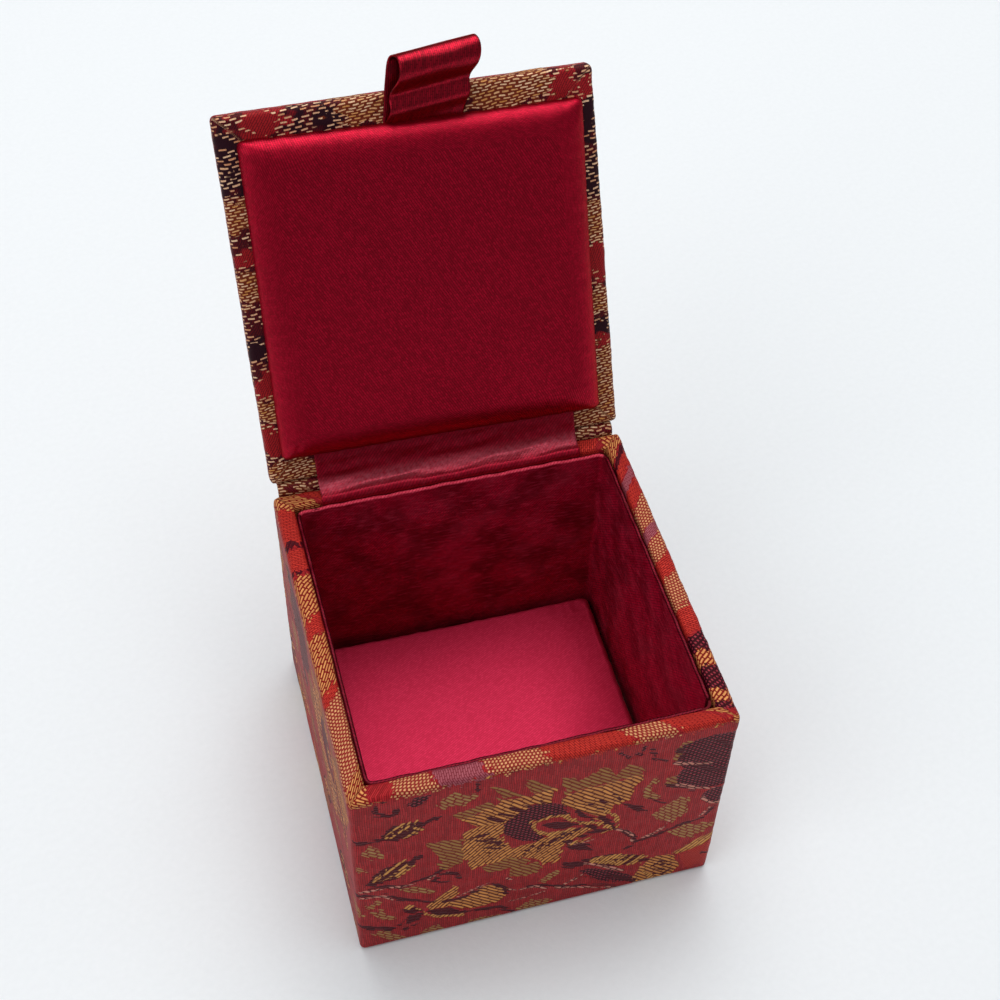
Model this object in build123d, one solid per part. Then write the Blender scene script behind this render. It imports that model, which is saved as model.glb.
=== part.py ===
"""A small square keepsake box of grey board, covered in brocade and lined with satin.

The case is four board walls round a board bottom. One strip of brocade goes round the walls,
is turned over the rim and down inside, and is turned under the bottom, where a paper sheet hides
its edge. A folded card faced with satin lines the walls, and a satin cushion lies on the bottom.
The lid is one board covered in brocade, with a satin cushion glued inside it and a ribbon loop
held under the cushion's front edge. The hinge is cloth: a brocade fold outside, and a satin
strip inside that runs from under the cushion to behind the lining.

Sizes are in millimetres. +Z is up, the front of the box faces -Y, and the origin is the middle
of the face that the box stands on. The lid is drawn shut and then turned about the hinge to the
place where it stands open, which is how the box rests here.
"""

from build123d import *
import math
import os

os.makedirs("parts", exist_ok=True)

# Case
case_width = 60.0
case_depth = 60.0
case_height = 46.4

# Sheet goods
board = 2.3
brocade = 0.35
satin = 0.15
base_paper = 0.3

# How the brocade is folded over the case
fold_radius = 0.9
mouth_radius = 0.7
under_radius = 0.5
turn_in = 10.0
turn_under = 7.0
base_inset = 1.5

# Wall lining
lining_card = 0.4
lining_slack = 0.1
lining_drop = 0.9
lining_corner = 1.6
lining_turn = 5.0
lining_slit = 0.4

# Cushions
cushion_card = 1.0
cushion_edge = 1.8
cushion_corner_spare = 0.4
cushion_draw_in = 0.35
cushion_turn = 6.0
floor_foam = 3.6
floor_crown = 0.5
floor_gap = 0.4
lid_foam = 2.2
lid_crown = 0.6
lid_cushion_clear = 0.72
lid_cushion_skew = 1.0

# Lid
lid_side_inset = 0.1
lid_overhang = 0.4
lid_gap = 0.9
lid_border = 8.0

# Hinge
hinge_behind = 0.6
hinge_above = 1.1
open_angle = 115.5
panel_inset = 1.1
panel_foot = 0.8
hinge_strip_inset = 7.8
hinge_strip_drop = 9.0
hinge_strip_tuck = 1.0
cove_share = 0.9
fold_share = 0.74
fit_slack = 0.05

# Ribbon loop, whose points beyond the lid's edge are shares of its reach and its depth
ribbon = 0.25
ribbon_width = 12.7
ribbon_middle = 2.9
ribbon_tail = 8.6
ribbon_reach = 6.2
ribbon_depth = 3.7
ribbon_lean = 9.0
ribbon_tilt = 6.5
ribbon_point_shares = [(1.0, 0.15), (0.98, 0.84), (0.69, 1.0)]
ribbon_bend_shares = [1.3, 0.34, 0.3, 0.48, 0.24]

# One overrun serves every cut
overrun = 2.0

# Levels and half sizes that follow from these
half_width = case_width / 2
half_depth = case_depth / 2
wall_foot = base_paper + brocade
wall_top = case_height - brocade
floor_level = wall_foot + board
rim = board + 2 * brocade
mouth_half_width = half_width - rim
mouth_half_depth = half_depth - rim
lining_thick = lining_card + 2 * satin
lining_front = -mouth_half_depth + lining_slack
lining_back = mouth_half_depth - lining_slack - satin
lining_top = case_height - lining_drop
lining_middle = (lining_front + lining_back) / 2
lid_width = case_width - 2 * lid_side_inset
lid_thick = board + 2 * brocade
lid_low = case_height + lid_gap
lid_high = lid_low + lid_thick
lid_back = half_depth
lid_front = -half_depth - lid_overhang
lid_length = lid_back - lid_front
lid_middle = (lid_back + lid_front) / 2
cushion_width = 2 * (mouth_half_width - lining_slack - lining_thick - lid_cushion_clear)
cushion_depth = lining_back - lining_front - 2 * (lining_thick + lid_cushion_clear)
cushion_near = lid_back - lining_middle - cushion_depth / 2
cushion_far = cushion_near + cushion_depth
hinge_strip_width = case_width - 2 * hinge_strip_inset
hinge_y = half_depth + hinge_behind
hinge_z = case_height + hinge_above
hinge_axis = Axis((0, hinge_y, hinge_z), (1, 0, 0))


def save(shape, name):
    """Writes one sub-part under its name."""
    export_step(shape, f"parts/{name}.step")


def block(width, depth, low, high, x=0, y=0):
    """A box that stands from low to high with its middle over x, y."""
    return Pos(x, y, (low + high) / 2) * Box(width, depth, high - low)


def folded_block(width, depth, low, high, upright, top, bottom):
    """A box whose upright, top and bottom edges are rounded, as board under cloth is."""
    made = block(width, depth, low, high)
    made = fillet(made.edges().filter_by(Axis.Z), upright)
    made = fillet(made.edges().group_by(Axis.Z)[-1], top)
    return fillet(made.edges().group_by(Axis.Z)[0], bottom)


def mouth(half_x, half_y, low, high):
    """The space inside the rim, cut past the top."""
    return block(2 * half_x, 2 * half_y, low, high + overrun)


def soften_mouth(shape, half_x, half_y, level, radius):
    """Rounds the inner top edges of a rim, which lie at the level inside the given half sizes."""
    slack = radius / 2
    inner = [
        edge
        for edge in shape.edges().group_by(Axis.Z)[-1]
        if abs(edge.center().X) < half_x + slack and abs(edge.center().Y) < half_y + slack
    ]
    return fillet(inner, radius)


# Case boards


def wall_ring():
    """The four walls as one ring, before they are cut apart at the corners."""
    ring = folded_block(
        case_width - 2 * brocade,
        case_depth - 2 * brocade,
        wall_foot,
        wall_top,
        fold_radius - brocade,
        fold_radius - brocade,
        under_radius - brocade,
    )
    half_x = mouth_half_width + brocade
    half_y = mouth_half_depth + brocade
    ring -= mouth(half_x, half_y, wall_foot - overrun, wall_top)
    return soften_mouth(ring, half_x, half_y, wall_top, mouth_radius - brocade)


def case_walls(ring):
    """Front and back boards as wide as the case, with the side boards between them."""
    split = mouth_half_depth + brocade
    reach = 2 * case_width
    low = wall_foot - overrun
    high = wall_top + overrun
    slab = case_depth
    front = ring & block(reach, slab, low, high, y=-split - slab / 2)
    back = ring & block(reach, slab, low, high, y=split + slab / 2)
    left = ring & block(reach, 2 * split, low, high, x=-reach / 2)
    right = ring & block(reach, 2 * split, low, high, x=reach / 2)
    return {"front_board": front, "back_board": back, "left_board": left, "right_board": right}


def bottom_board():
    """The bottom board lies between the walls, level with their feet."""
    return block(
        2 * (mouth_half_width + brocade), 2 * (mouth_half_depth + brocade), wall_foot, floor_level
    )


# Case covering


def case_brocade(ring):
    """The brocade round the walls, turned over the rim, down inside, and under the bottom."""
    cloth = folded_block(
        case_width, case_depth, base_paper, case_height, fold_radius, fold_radius, under_radius
    )
    cloth -= mouth(mouth_half_width, mouth_half_depth, case_height - turn_in, case_height)
    cloth = soften_mouth(cloth, mouth_half_width, mouth_half_depth, case_height, mouth_radius)
    cloth -= ring
    board_x = 2 * (mouth_half_width + brocade)
    board_y = 2 * (mouth_half_depth + brocade)
    cloth -= block(board_x, board_y, wall_foot, case_height - turn_in)
    return cloth - block(
        case_width - 2 * turn_under, case_depth - 2 * turn_under, base_paper - overrun, wall_foot
    )


def base_sheet():
    """The paper glued under the case over the brocade's turned edge."""
    return block(case_width - 2 * base_inset, case_depth - 2 * base_inset, 0, base_paper)


def back_brocade():
    """The tail of the hinge cloth, glued flat on the outside of the back wall."""
    return block(
        case_width - 2 * panel_inset,
        brocade,
        panel_foot,
        case_height - fold_radius,
        y=half_depth + brocade / 2,
    )


# Wall lining


def lining_ring(outset, thick, low, high):
    """A ring of the lining: its outer face lies outset inside the lining's own outer face."""
    width = 2 * (mouth_half_width - lining_slack - outset)
    depth = lining_back - lining_front - 2 * outset
    corner = lining_corner - outset
    outer = extrude(RectangleRounded(width, depth, corner), high - low)
    inner = extrude(
        RectangleRounded(width - 2 * thick, depth - 2 * thick, corner - thick),
        high - low + 2 * overrun,
    )
    return Pos(0, lining_middle, low) * (outer - Pos(0, 0, -overrun) * inner)


def lining_cut():
    """The slit at the front right corner, where the folded strip's two ends meet."""
    start = lining_front + lining_corner
    return block(
        2 * (lining_thick + overrun),
        lining_slit,
        floor_level - overrun,
        case_height + overrun,
        x=mouth_half_width,
        y=start + lining_slit / 2,
    )


def lining_strip():
    """The lining's card, in one strip folded at the corners."""
    card = lining_ring(satin, lining_card, floor_level, lining_top - satin)
    return card - lining_cut()


def lining_satin():
    """The satin on the card's inner face, over its top edge and a little way down its back."""
    cloth = lining_ring(0, lining_thick, floor_level, lining_top)
    cloth -= lining_ring(0, satin, floor_level - overrun, lining_top - lining_turn)
    cloth -= lining_ring(satin, lining_card, floor_level - overrun, lining_top - satin)
    return cloth - lining_cut()


# Cushions


def cushion_form(width, depth, height, crown, inset):
    """A crowned block whose sides are drawn in, standing on z = inset, smaller all round by inset."""
    half_x = width / 2 - inset
    half_y = depth / 2 - inset
    hollow = cushion_draw_in
    corners = [(-half_x, -half_y), (half_x, -half_y), (half_x, half_y), (-half_x, half_y)]
    middles = [(0, hollow - half_y), (half_x - hollow, 0), (0, half_y - hollow), (hollow - half_x, 0)]
    following = corners[1:] + corners[:1]
    sides = [ThreePointArc(*points) for points in zip(corners, middles, following)]
    outline = make_face(sides)
    outline = fillet(outline.vertices(), cushion_edge + cushion_corner_spare - inset)
    top = height + crown - inset
    body = Pos(0, 0, inset) * extrude(outline, top - inset)
    dome = (max(width, depth) / 2) ** 2 / (2 * crown)
    body &= Pos(0, 0, top - dome) * Sphere(dome)
    rim_edges = [
        edge
        for edge in body.edges()
        if edge.center().Z > height / 2 and edge not in body.edges().filter_by(Axis.Z)
    ]
    return fillet(rim_edges, cushion_edge - inset)


def cushion(width, depth, foam, crown):
    """Card, foam and satin of one cushion, with its back on z = 0 and its crown upwards."""
    height = satin + cushion_card + foam + satin
    outer = cushion_form(width, depth, height, crown, 0)
    inner = cushion_form(width, depth, height, crown, satin)
    card_top = satin + cushion_card
    slab = block(width + overrun, depth + overrun, satin - overrun, card_top)
    card = inner & slab
    fill = inner - slab
    window = block(width - 2 * cushion_turn, depth - 2 * cushion_turn, -overrun, satin)
    cloth = outer - inner - window
    return card, fill, cloth


def floor_cushion():
    """The cushion on the bottom board, a gap inside the lining all round."""
    clear = lining_thick + floor_gap
    width = 2 * (mouth_half_width - lining_slack - clear)
    depth = lining_back - lining_front - 2 * clear
    place = Pos(0, lining_middle, floor_level)
    return [place * piece for piece in cushion(width, depth, floor_foam, floor_crown)]


# Lid


def opened(shape):
    """Turns a piece of the lid from shut to where the lid stands open."""
    return shape.rotate(hinge_axis, -open_angle)


def lid_form(inset):
    """The lid's slab, shut, smaller all round by inset, with its edges rounded."""
    slab = folded_block(
        lid_width - 2 * inset,
        lid_length - 2 * inset,
        lid_low + inset,
        lid_high - inset,
        fold_radius - inset,
        fold_radius - inset,
        fold_radius - inset,
    )
    return Pos(0, lid_middle, 0) * slab


def lid_brocade(slab):
    """The brocade over the lid, turned in round all four sides of its inner face."""
    window = block(
        lid_width - 2 * lid_border,
        lid_length - 2 * lid_border,
        lid_low - overrun,
        lid_low + brocade,
        y=lid_middle,
    )
    return lid_form(0) - slab - window


def lid_cushion():
    """The lid's cushion, shut: crown down, a little askew, with pockets for strip and ribbon."""
    card, fill, cloth = cushion(cushion_width, cushion_depth, lid_foam, lid_crown)
    place = Pos(0, lining_middle, lid_low) * Rot(180, 0, -lid_cushion_skew)
    pockets = ribbon_pocket() + strip_pocket()
    return place * card - pockets, place * fill, place * cloth - pockets


# Ribbon loop


def ribbon_body(section, start, width):
    """A length of ribbon from its section, drawn as (beyond the lid's edge, out from its face)."""
    lean = math.tan(math.radians(ribbon_lean))
    tilt = math.tan(math.radians(ribbon_tilt))
    side = Plane(origin=(start, lid_front, lid_low), x_dir=(lean, -1, 0), z_dir=(1, lean, 0))
    return extrude(side * section, width, dir=(1, -tilt, 0))


def ribbon_loop():
    """One ribbon folded in two: a flat back, a round top, and a front that bulges and tucks in."""
    root = cushion_far - ribbon_tail - lid_length
    waist = -lid_overhang / 2
    back = ribbon / 2
    front = back + ribbon + fit_slack
    points = [(root, back), (0, back)]
    for reach_share, depth_share in ribbon_point_shares:
        points.append((ribbon_reach * reach_share - back, ribbon_depth * depth_share - back))
    points += [(waist, front), (root, front)]
    bends = [ribbon_depth * share for share in ribbon_bend_shares]
    path = FilletPolyline(*points, radius=bends)
    start = ribbon_middle - ribbon_width / 2
    return ribbon_body(trace(path, ribbon), start, ribbon_width)


def ribbon_pocket():
    """The space that the ribbon's two plies take under the front of the cushion."""
    root = cushion_far - ribbon_tail - lid_length - fit_slack
    depth = 2 * (ribbon + fit_slack)
    section = Pos(root / 2, (depth - overrun) / 2) * Rectangle(-root, depth + overrun)
    start = ribbon_middle - ribbon_width / 2 - fit_slack
    return ribbon_body(section, start, ribbon_width + 2 * fit_slack)


# Cloth hinge


def opened_point(along, out):
    """The point (y, z) of the open lid, along it from its hinge edge and out from its inner face."""
    turn = math.radians(open_angle)
    back = lid_back - along - hinge_y
    up = lid_low - out - hinge_z
    y = hinge_y + back * math.cos(turn) + up * math.sin(turn)
    z = hinge_z - back * math.sin(turn) + up * math.cos(turn)
    return y, z


def bend_radius(before, corner, after, share):
    """The radius of a bend that takes a share of the shorter of the two runs at its corner."""
    first = Vector(*corner) - Vector(*before)
    second = Vector(*after) - Vector(*corner)
    half_turn = math.radians(first.get_angle(second) / 2)
    return share * min(first.length, second.length) / math.tan(half_turn)


def cloth_strip(path, thick, width):
    """A strip of cloth from its path in (y, z), as wide as given along X."""
    return extrude(Plane.YZ * trace(path, thick), width / 2, both=True)


def hinge_brocade():
    """The free fold of brocade: up past the back wall, round, and flat on the lid's hinge edge."""
    middle = brocade / 2
    start = (half_depth + middle, case_height - fold_radius)
    edge_y, edge_z = opened_point(-middle, 0)
    lift = (edge_y - start[0]) / math.sin(math.radians(open_angle))
    corner = opened_point(-middle, lift)
    end = opened_point(-middle, fold_radius - lid_thick)
    bend = bend_radius(start, corner, end, fold_share)
    path = FilletPolyline(start, corner, end, radius=bend)
    return cloth_strip(path, brocade, case_width - 2 * panel_inset)


def hinge_lining():
    """The satin strip: from under the cushion, down the lid, over the rim, behind the lining."""
    middle = satin / 2
    level = case_height + middle
    inside = mouth_half_depth - middle
    start = opened_point(cushion_near + hinge_strip_tuck, middle)
    edge_y, edge_z = opened_point(0, middle)
    slide = (level - edge_z) / math.sin(math.radians(open_angle))
    cove = opened_point(slide, middle)
    lip = (inside, level)
    end = (inside, case_height - hinge_strip_drop)
    lip_bend = mouth_radius + middle
    cove_bend = bend_radius(start, cove, (inside + lip_bend, level), cove_share)
    path = FilletPolyline(start, cove, lip, end, radius=[cove_bend, lip_bend])
    return cloth_strip(path, satin, hinge_strip_width)


def strip_pocket():
    """The space that the satin strip takes under the back of the cushion."""
    tuck = hinge_strip_tuck + fit_slack
    return block(
        hinge_strip_width + 2 * fit_slack,
        2 * tuck,
        lid_low - satin,
        lid_low + overrun,
        y=lid_back - cushion_near,
    )


# Case nodes

ring = wall_ring()
for name, wall in case_walls(ring).items():
    save(wall, name)
save(bottom_board(), "bottom_board")
save(case_brocade(ring), "case_brocade")
save(base_sheet(), "base_sheet")
save(back_brocade(), "back_brocade")
save(lining_strip(), "lining_card")
save(lining_satin(), "lining_satin")
for shape, name in zip(floor_cushion(), ["floor_card", "floor_foam", "floor_satin"]):
    save(shape, name)
save(hinge_brocade(), "hinge_brocade")
save(hinge_lining(), "hinge_lining")

# Lid nodes, turned open

slab = lid_form(brocade)
save(opened(slab), "lid_board")
save(opened(lid_brocade(slab)), "lid_brocade")
for shape, name in zip(lid_cushion(), ["pad_card", "pad_foam", "pad_satin"]):
    save(opened(shape), name)
save(opened(ribbon_loop()), "ribbon_tab")
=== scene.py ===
"""A small square keepsake box: grey board covered in brocade, lined and cushioned with satin.

The script loads the box's CAD nodes, lays its own cloth over them, dresses every piece with a
woven or papery finish, and sets the floor, the light and the camera. Lengths in the classes are
millimetres, and they become metres when a mesh is made. +Z is up and the box's front faces -Y.
"""

from __future__ import annotations

import logging
import math
from collections.abc import Sequence
from dataclasses import dataclass, field, replace
from enum import Enum

import bmesh
import bpy
import numpy as np
from mathutils import Matrix, Vector

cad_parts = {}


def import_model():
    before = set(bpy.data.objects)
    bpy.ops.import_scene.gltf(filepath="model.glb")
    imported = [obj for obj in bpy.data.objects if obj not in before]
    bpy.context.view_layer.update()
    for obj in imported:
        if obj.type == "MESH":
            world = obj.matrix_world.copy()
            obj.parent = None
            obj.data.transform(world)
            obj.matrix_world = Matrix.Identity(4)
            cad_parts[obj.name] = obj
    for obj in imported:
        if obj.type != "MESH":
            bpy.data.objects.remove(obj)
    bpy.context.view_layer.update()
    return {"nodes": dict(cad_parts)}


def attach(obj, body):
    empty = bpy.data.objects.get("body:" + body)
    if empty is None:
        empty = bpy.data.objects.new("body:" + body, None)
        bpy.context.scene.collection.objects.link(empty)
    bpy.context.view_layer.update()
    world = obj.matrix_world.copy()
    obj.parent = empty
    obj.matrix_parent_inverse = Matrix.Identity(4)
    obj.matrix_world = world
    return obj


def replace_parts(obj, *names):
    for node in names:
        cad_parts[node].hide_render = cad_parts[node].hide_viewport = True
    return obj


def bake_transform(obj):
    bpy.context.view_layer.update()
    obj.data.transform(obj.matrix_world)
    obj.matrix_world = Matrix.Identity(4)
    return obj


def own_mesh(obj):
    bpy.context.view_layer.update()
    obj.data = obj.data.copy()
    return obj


LOG = logging.getLogger("brocade_box")
MM = 0.001
TINY = 1e-9  # keeps what one divides by away from zero
SEAM = 0.001  # points of a piece that lie this near to each other, in millimetres, are one
ARC_STEP = 0.35  # the coarsest spacing of points on an arc, in shares of its radius
Colour = tuple[float, float, float]
Array = np.ndarray
Socket = bpy.types.NodeSocket
Sockets = dict[str, Socket]
Finishes = dict[str, bpy.types.Material]
Value = Socket | float | Sequence[float]


def tint(red: int, green: int, blue: int) -> Colour:
    """A display colour of three numbers up to 255, as the linear colour that a shader takes.

    Args:
        red: The colour's red, from 0 to 255.
        green: Its green.
        blue: Its blue.

    Returns:
        The linear colour.
    """
    share = np.array([red, green, blue]) / 255
    linear = np.where(share <= 0.04045, share / 12.92, ((share + 0.055) / 1.055) ** 2.4)
    return tuple(float(part) for part in linear)


def smooth(value: Array, low: float, high: float) -> Array:
    """Rises from 0 at low to 1 at high, level at both ends: t squared times (3 - 2t)."""
    share = np.clip((value - low) / (high - low), 0, 1)
    return share * share * (3 - 2 * share)


@dataclass(frozen=True)
class Wave:
    """An uneven wave over the plane, made of four sines that cross at odd angles.

    Each sine runs a golden angle on from the one before, with waves that are shorter by an odd
    ratio. Their sum is brought to about -1 to 1 and multiplied by the height.

    Attributes:
        height: The wave's height, in millimetres.
        length: About the wave length, in millimetres, that the four sines' own lie round.
        seed: Any number; another one gives another wave.
    """

    height: float
    length: float
    seed: float

    def swing(self, u: Array, v: Array) -> Array:
        """The wave at each point before it gets its height.

        Args:
            u: Place one way.
            v: Place the other way.

        Returns:
            The wave, from about -1 to 1.
        """
        sines, golden, seed_turn, seed_shift, tallest = 4, 2.399, 1.7, 5.3, 2.6
        total = np.zeros(np.broadcast(u, v).shape)
        for step in range(sines):
            angle = self.seed * seed_turn + step * golden
            rate = 2 * math.pi / self.length * (0.71 + 0.37 * step)
            way = u * math.cos(angle) + v * math.sin(angle)
            total += np.sin(rate * way + self.seed * seed_shift + step)
        return total / tallest

    def at(self, u: Array, v: Array) -> Array:
        """The wave at each point, to both sides of zero."""
        return self.height * self.swing(u, v)

    def above(self, u: Array, v: Array) -> Array:
        """The wave at each point, raised by its height so that it hardly goes below zero."""
        return self.height * (1 + self.swing(u, v))


# Lines and surfaces


def bent_path(
    corners: Sequence[Sequence[float]], radii: Sequence[float], steps: Sequence[float]
) -> Array:
    """Points along straight runs that are joined by tangent arcs.

    An arc leaves a run at radius times the tangent of half the turn before the corner, and a
    point on it is the centre plus a mix of the arc's two end spokes, each weighted by a sine.

    Args:
        corners: The path's points, ends included.
        radii: The arc's radius at each inner corner.
        steps: The spacing on each run; an arc takes the finer of its two runs', or a finer one.

    Returns:
        The points, as an array of (count, 2).
    """
    places = np.asarray(corners, float)
    made = [places[:1]]
    for index, radius in enumerate(radii, start=1):
        back = places[index - 1] - places[index]
        ahead = places[index + 1] - places[index]
        back /= np.linalg.norm(back)
        ahead /= np.linalg.norm(ahead)
        half = (math.pi - math.acos(float(np.clip(back @ ahead, -1, 1)))) / 2
        reach = radius * math.tan(half)
        middle = (back + ahead) / np.linalg.norm(back + ahead)
        centre = places[index] + middle * radius / math.cos(half)
        first, last = places[index] + back * reach, places[index] + ahead * reach
        made.append(run_to(made[-1][-1], first, steps[index - 1]))
        fine = min(steps[index - 1], steps[index], radius * ARC_STEP)
        count = max(3, math.ceil(2 * half * radius / fine))
        share = np.linspace(0, 1, count + 1)[1:, None]
        turn = 2 * half
        spokes = np.sin((1 - share) * turn) * (first - centre) + np.sin(share * turn) * (last - centre)
        made.append(centre + spokes / math.sin(turn))
    made.append(run_to(made[-1][-1], places[-1], steps[-1]))
    return np.concatenate(made)


def limp_path(leads: Sequence[Sequence[float]], per_run: int) -> Array:
    """Points on the smooth line of limp cloth, led by control points and held at both ends.

    It is a uniform cubic B-spline: each point is a sum of four neighbouring leads, weighted by
    (1-t)^3, 3t^3 - 6t^2 + 4, -3t^3 + 3t^2 + 3t + 1 and t^3, over six.

    Args:
        leads: The control points.
        per_run: How many points each run between leads gets.

    Returns:
        The points, as an array of (count, 2).
    """
    places = np.asarray(leads, float)
    places = np.concatenate([places[:1], places[:1], places, places[-1:], places[-1:]])
    t = np.linspace(0, 1, per_run, endpoint=False)[:, None]
    weights = [(1 - t) ** 3, 3 * t**3 - 6 * t**2 + 4, -3 * t**3 + 3 * t**2 + 3 * t + 1, t**3]
    runs = [
        sum(weight * places[first + turn] for turn, weight in enumerate(weights)) / 6
        for first in range(len(places) - 3)
    ]
    return np.concatenate([*runs, places[-1:]])


def run_to(start: Array, end: Array, step: float) -> Array:
    """Evenly spaced points on a straight run, without its first point."""
    count = max(1, math.ceil(float(np.linalg.norm(end - start)) / step))
    return start + np.linspace(0, 1, count + 1)[1:, None] * (end - start)


def lengths_along(path: Array) -> Array:
    """The distance along a path at each of its points."""
    return np.concatenate([[0.0], np.cumsum(np.linalg.norm(np.diff(path, axis=0), axis=1))])


def normals_of(points: Array) -> Array:
    """The unit normal at each point of a net: the cross product of its two directions there.

    Args:
        points: (rows, columns, 3), the net's points.

    Returns:
        The normals, in the same shape.
    """
    down = np.gradient(points, axis=0)
    across = np.gradient(points, axis=1)
    normal = np.cross(across, down)
    return normal / np.maximum(np.linalg.norm(normal, axis=-1, keepdims=True), TINY)


def down(values: Array, columns: int) -> Array:
    """One value for each row, the same in all of its columns."""
    return np.broadcast_to(values[:, None], (len(values), columns))


@dataclass
class Net:
    """A net of points in rows and columns, with what its finish reads at each point.

    Attributes:
        points: (rows, columns, 3), in millimetres.
        weave: (rows, columns, 2), the place on the flat cloth, in millimetres.
        marks: Named values of (rows, columns, 3) for the finish.
        flip: Whether the faces are wound the other way round.
        finish: The index of the finish on each cell, or one index for all.
    """

    points: Array
    weave: Array
    marks: dict[str, Array] = field(default_factory=dict)
    flip: bool = False
    finish: Array | int = 0

    def faces(self) -> Array:
        """The corners of each cell, as (cells, 4) indices into the net's points.

        Returns:
            The corners, in the order that makes the faces look the right way.
        """
        rows, columns = self.points.shape[:2]
        index = np.arange(rows * columns).reshape(rows, columns)
        corners = [index[:-1, :-1], index[:-1, 1:], index[1:, 1:], index[1:, :-1]]
        if self.flip:
            corners.reverse()
        return np.stack([corner.ravel() for corner in corners], axis=-1)

    def thickened(self, thick: float) -> list[Net]:
        """The net as a sheet with two faces and closed edges.

        Each point moves half the thickness along its normal to one face and half against it to
        the other, and a band of cells joins the two faces round the border.

        Args:
            thick: The sheet's thickness.

        Returns:
            The nets of the two faces and of the four edge bands.
        """
        normal = normals_of(self.points) * (thick / 2) * (-1 if self.flip else 1)
        upper = Net(self.points + normal, self.weave, self.marks, self.flip, self.finish)
        lower = Net(self.points - normal, self.weave, self.marks, not self.flip, self.finish)
        made = [upper, lower]
        borders = [
            (np.s_[0, :], False),
            (np.s_[-1, :], True),
            (np.s_[:, 0], True),
            (np.s_[:, -1], False),
        ]
        for cut, turned in borders:
            points = np.stack([lower.points[cut], upper.points[cut]])
            weave = np.stack([self.weave[cut], self.weave[cut]])
            marks = {name: np.stack([mark[cut], mark[cut]]) for name, mark in self.marks.items()}
            made.append(Net(points, weave, marks, turned != self.flip))
        return made


def make_piece(
    name: str,
    nets: Sequence[Net],
    finishes: Sequence[bpy.types.Material],
    weld: float = 0.0,
) -> bpy.types.Object:
    """Puts nets into one mesh object, which stays at the origin.

    Args:
        name: The object's name.
        nets: The nets, which share the names of their marks.
        finishes: The materials, in the order of the nets' finish indices.
        weld: Points nearer to each other than this, in millimetres, become one.

    Returns:
        The object, linked into the scene.
    """
    starts = np.cumsum([0] + [net.points.shape[0] * net.points.shape[1] for net in nets])
    points = np.concatenate([net.points.reshape(-1, 3) for net in nets]) * MM
    faces = np.concatenate([net.faces() + start for net, start in zip(nets, starts)])
    weave = np.concatenate([net.weave.reshape(-1, 2) for net in nets])
    finish = np.concatenate([
        np.broadcast_to(net.finish, np.array(net.points.shape[:2]) - 1).ravel() for net in nets
    ])
    mesh = bpy.data.meshes.new(name)
    mesh.vertices.add(len(points))
    mesh.loops.add(faces.size)
    mesh.polygons.add(len(faces))
    mesh.vertices.foreach_set("co", points.astype(np.float32).ravel())
    mesh.loops.foreach_set("vertex_index", faces.astype(np.int32).ravel())
    mesh.polygons.foreach_set("loop_start", np.arange(0, faces.size, 4, dtype=np.int32))
    mesh.polygons.foreach_set("material_index", finish.astype(np.int32))
    mesh.update(calc_edges=True)
    mesh.polygons.foreach_set("use_smooth", np.ones(len(faces), bool))
    layer = mesh.uv_layers.new(name="weave")
    layer.data.foreach_set("uv", weave[faces.ravel()].astype(np.float32).ravel())
    for mark in nets[0].marks:
        values = np.concatenate([net.marks[mark].reshape(-1, 3) for net in nets])
        made = mesh.attributes.new(mark, "FLOAT_VECTOR", "POINT")
        made.data.foreach_set("vector", values.astype(np.float32).ravel())
    if weld:
        shell = bmesh.new()
        shell.from_mesh(mesh)
        bmesh.ops.remove_doubles(shell, verts=shell.verts, dist=weld * MM)
        shell.to_mesh(mesh)
        shell.free()
    for material in finishes:
        mesh.materials.append(material)
    mesh.validate()
    made = bpy.data.objects.new(name, mesh)
    bpy.context.scene.collection.objects.link(made)
    return made


# Shader building


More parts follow.
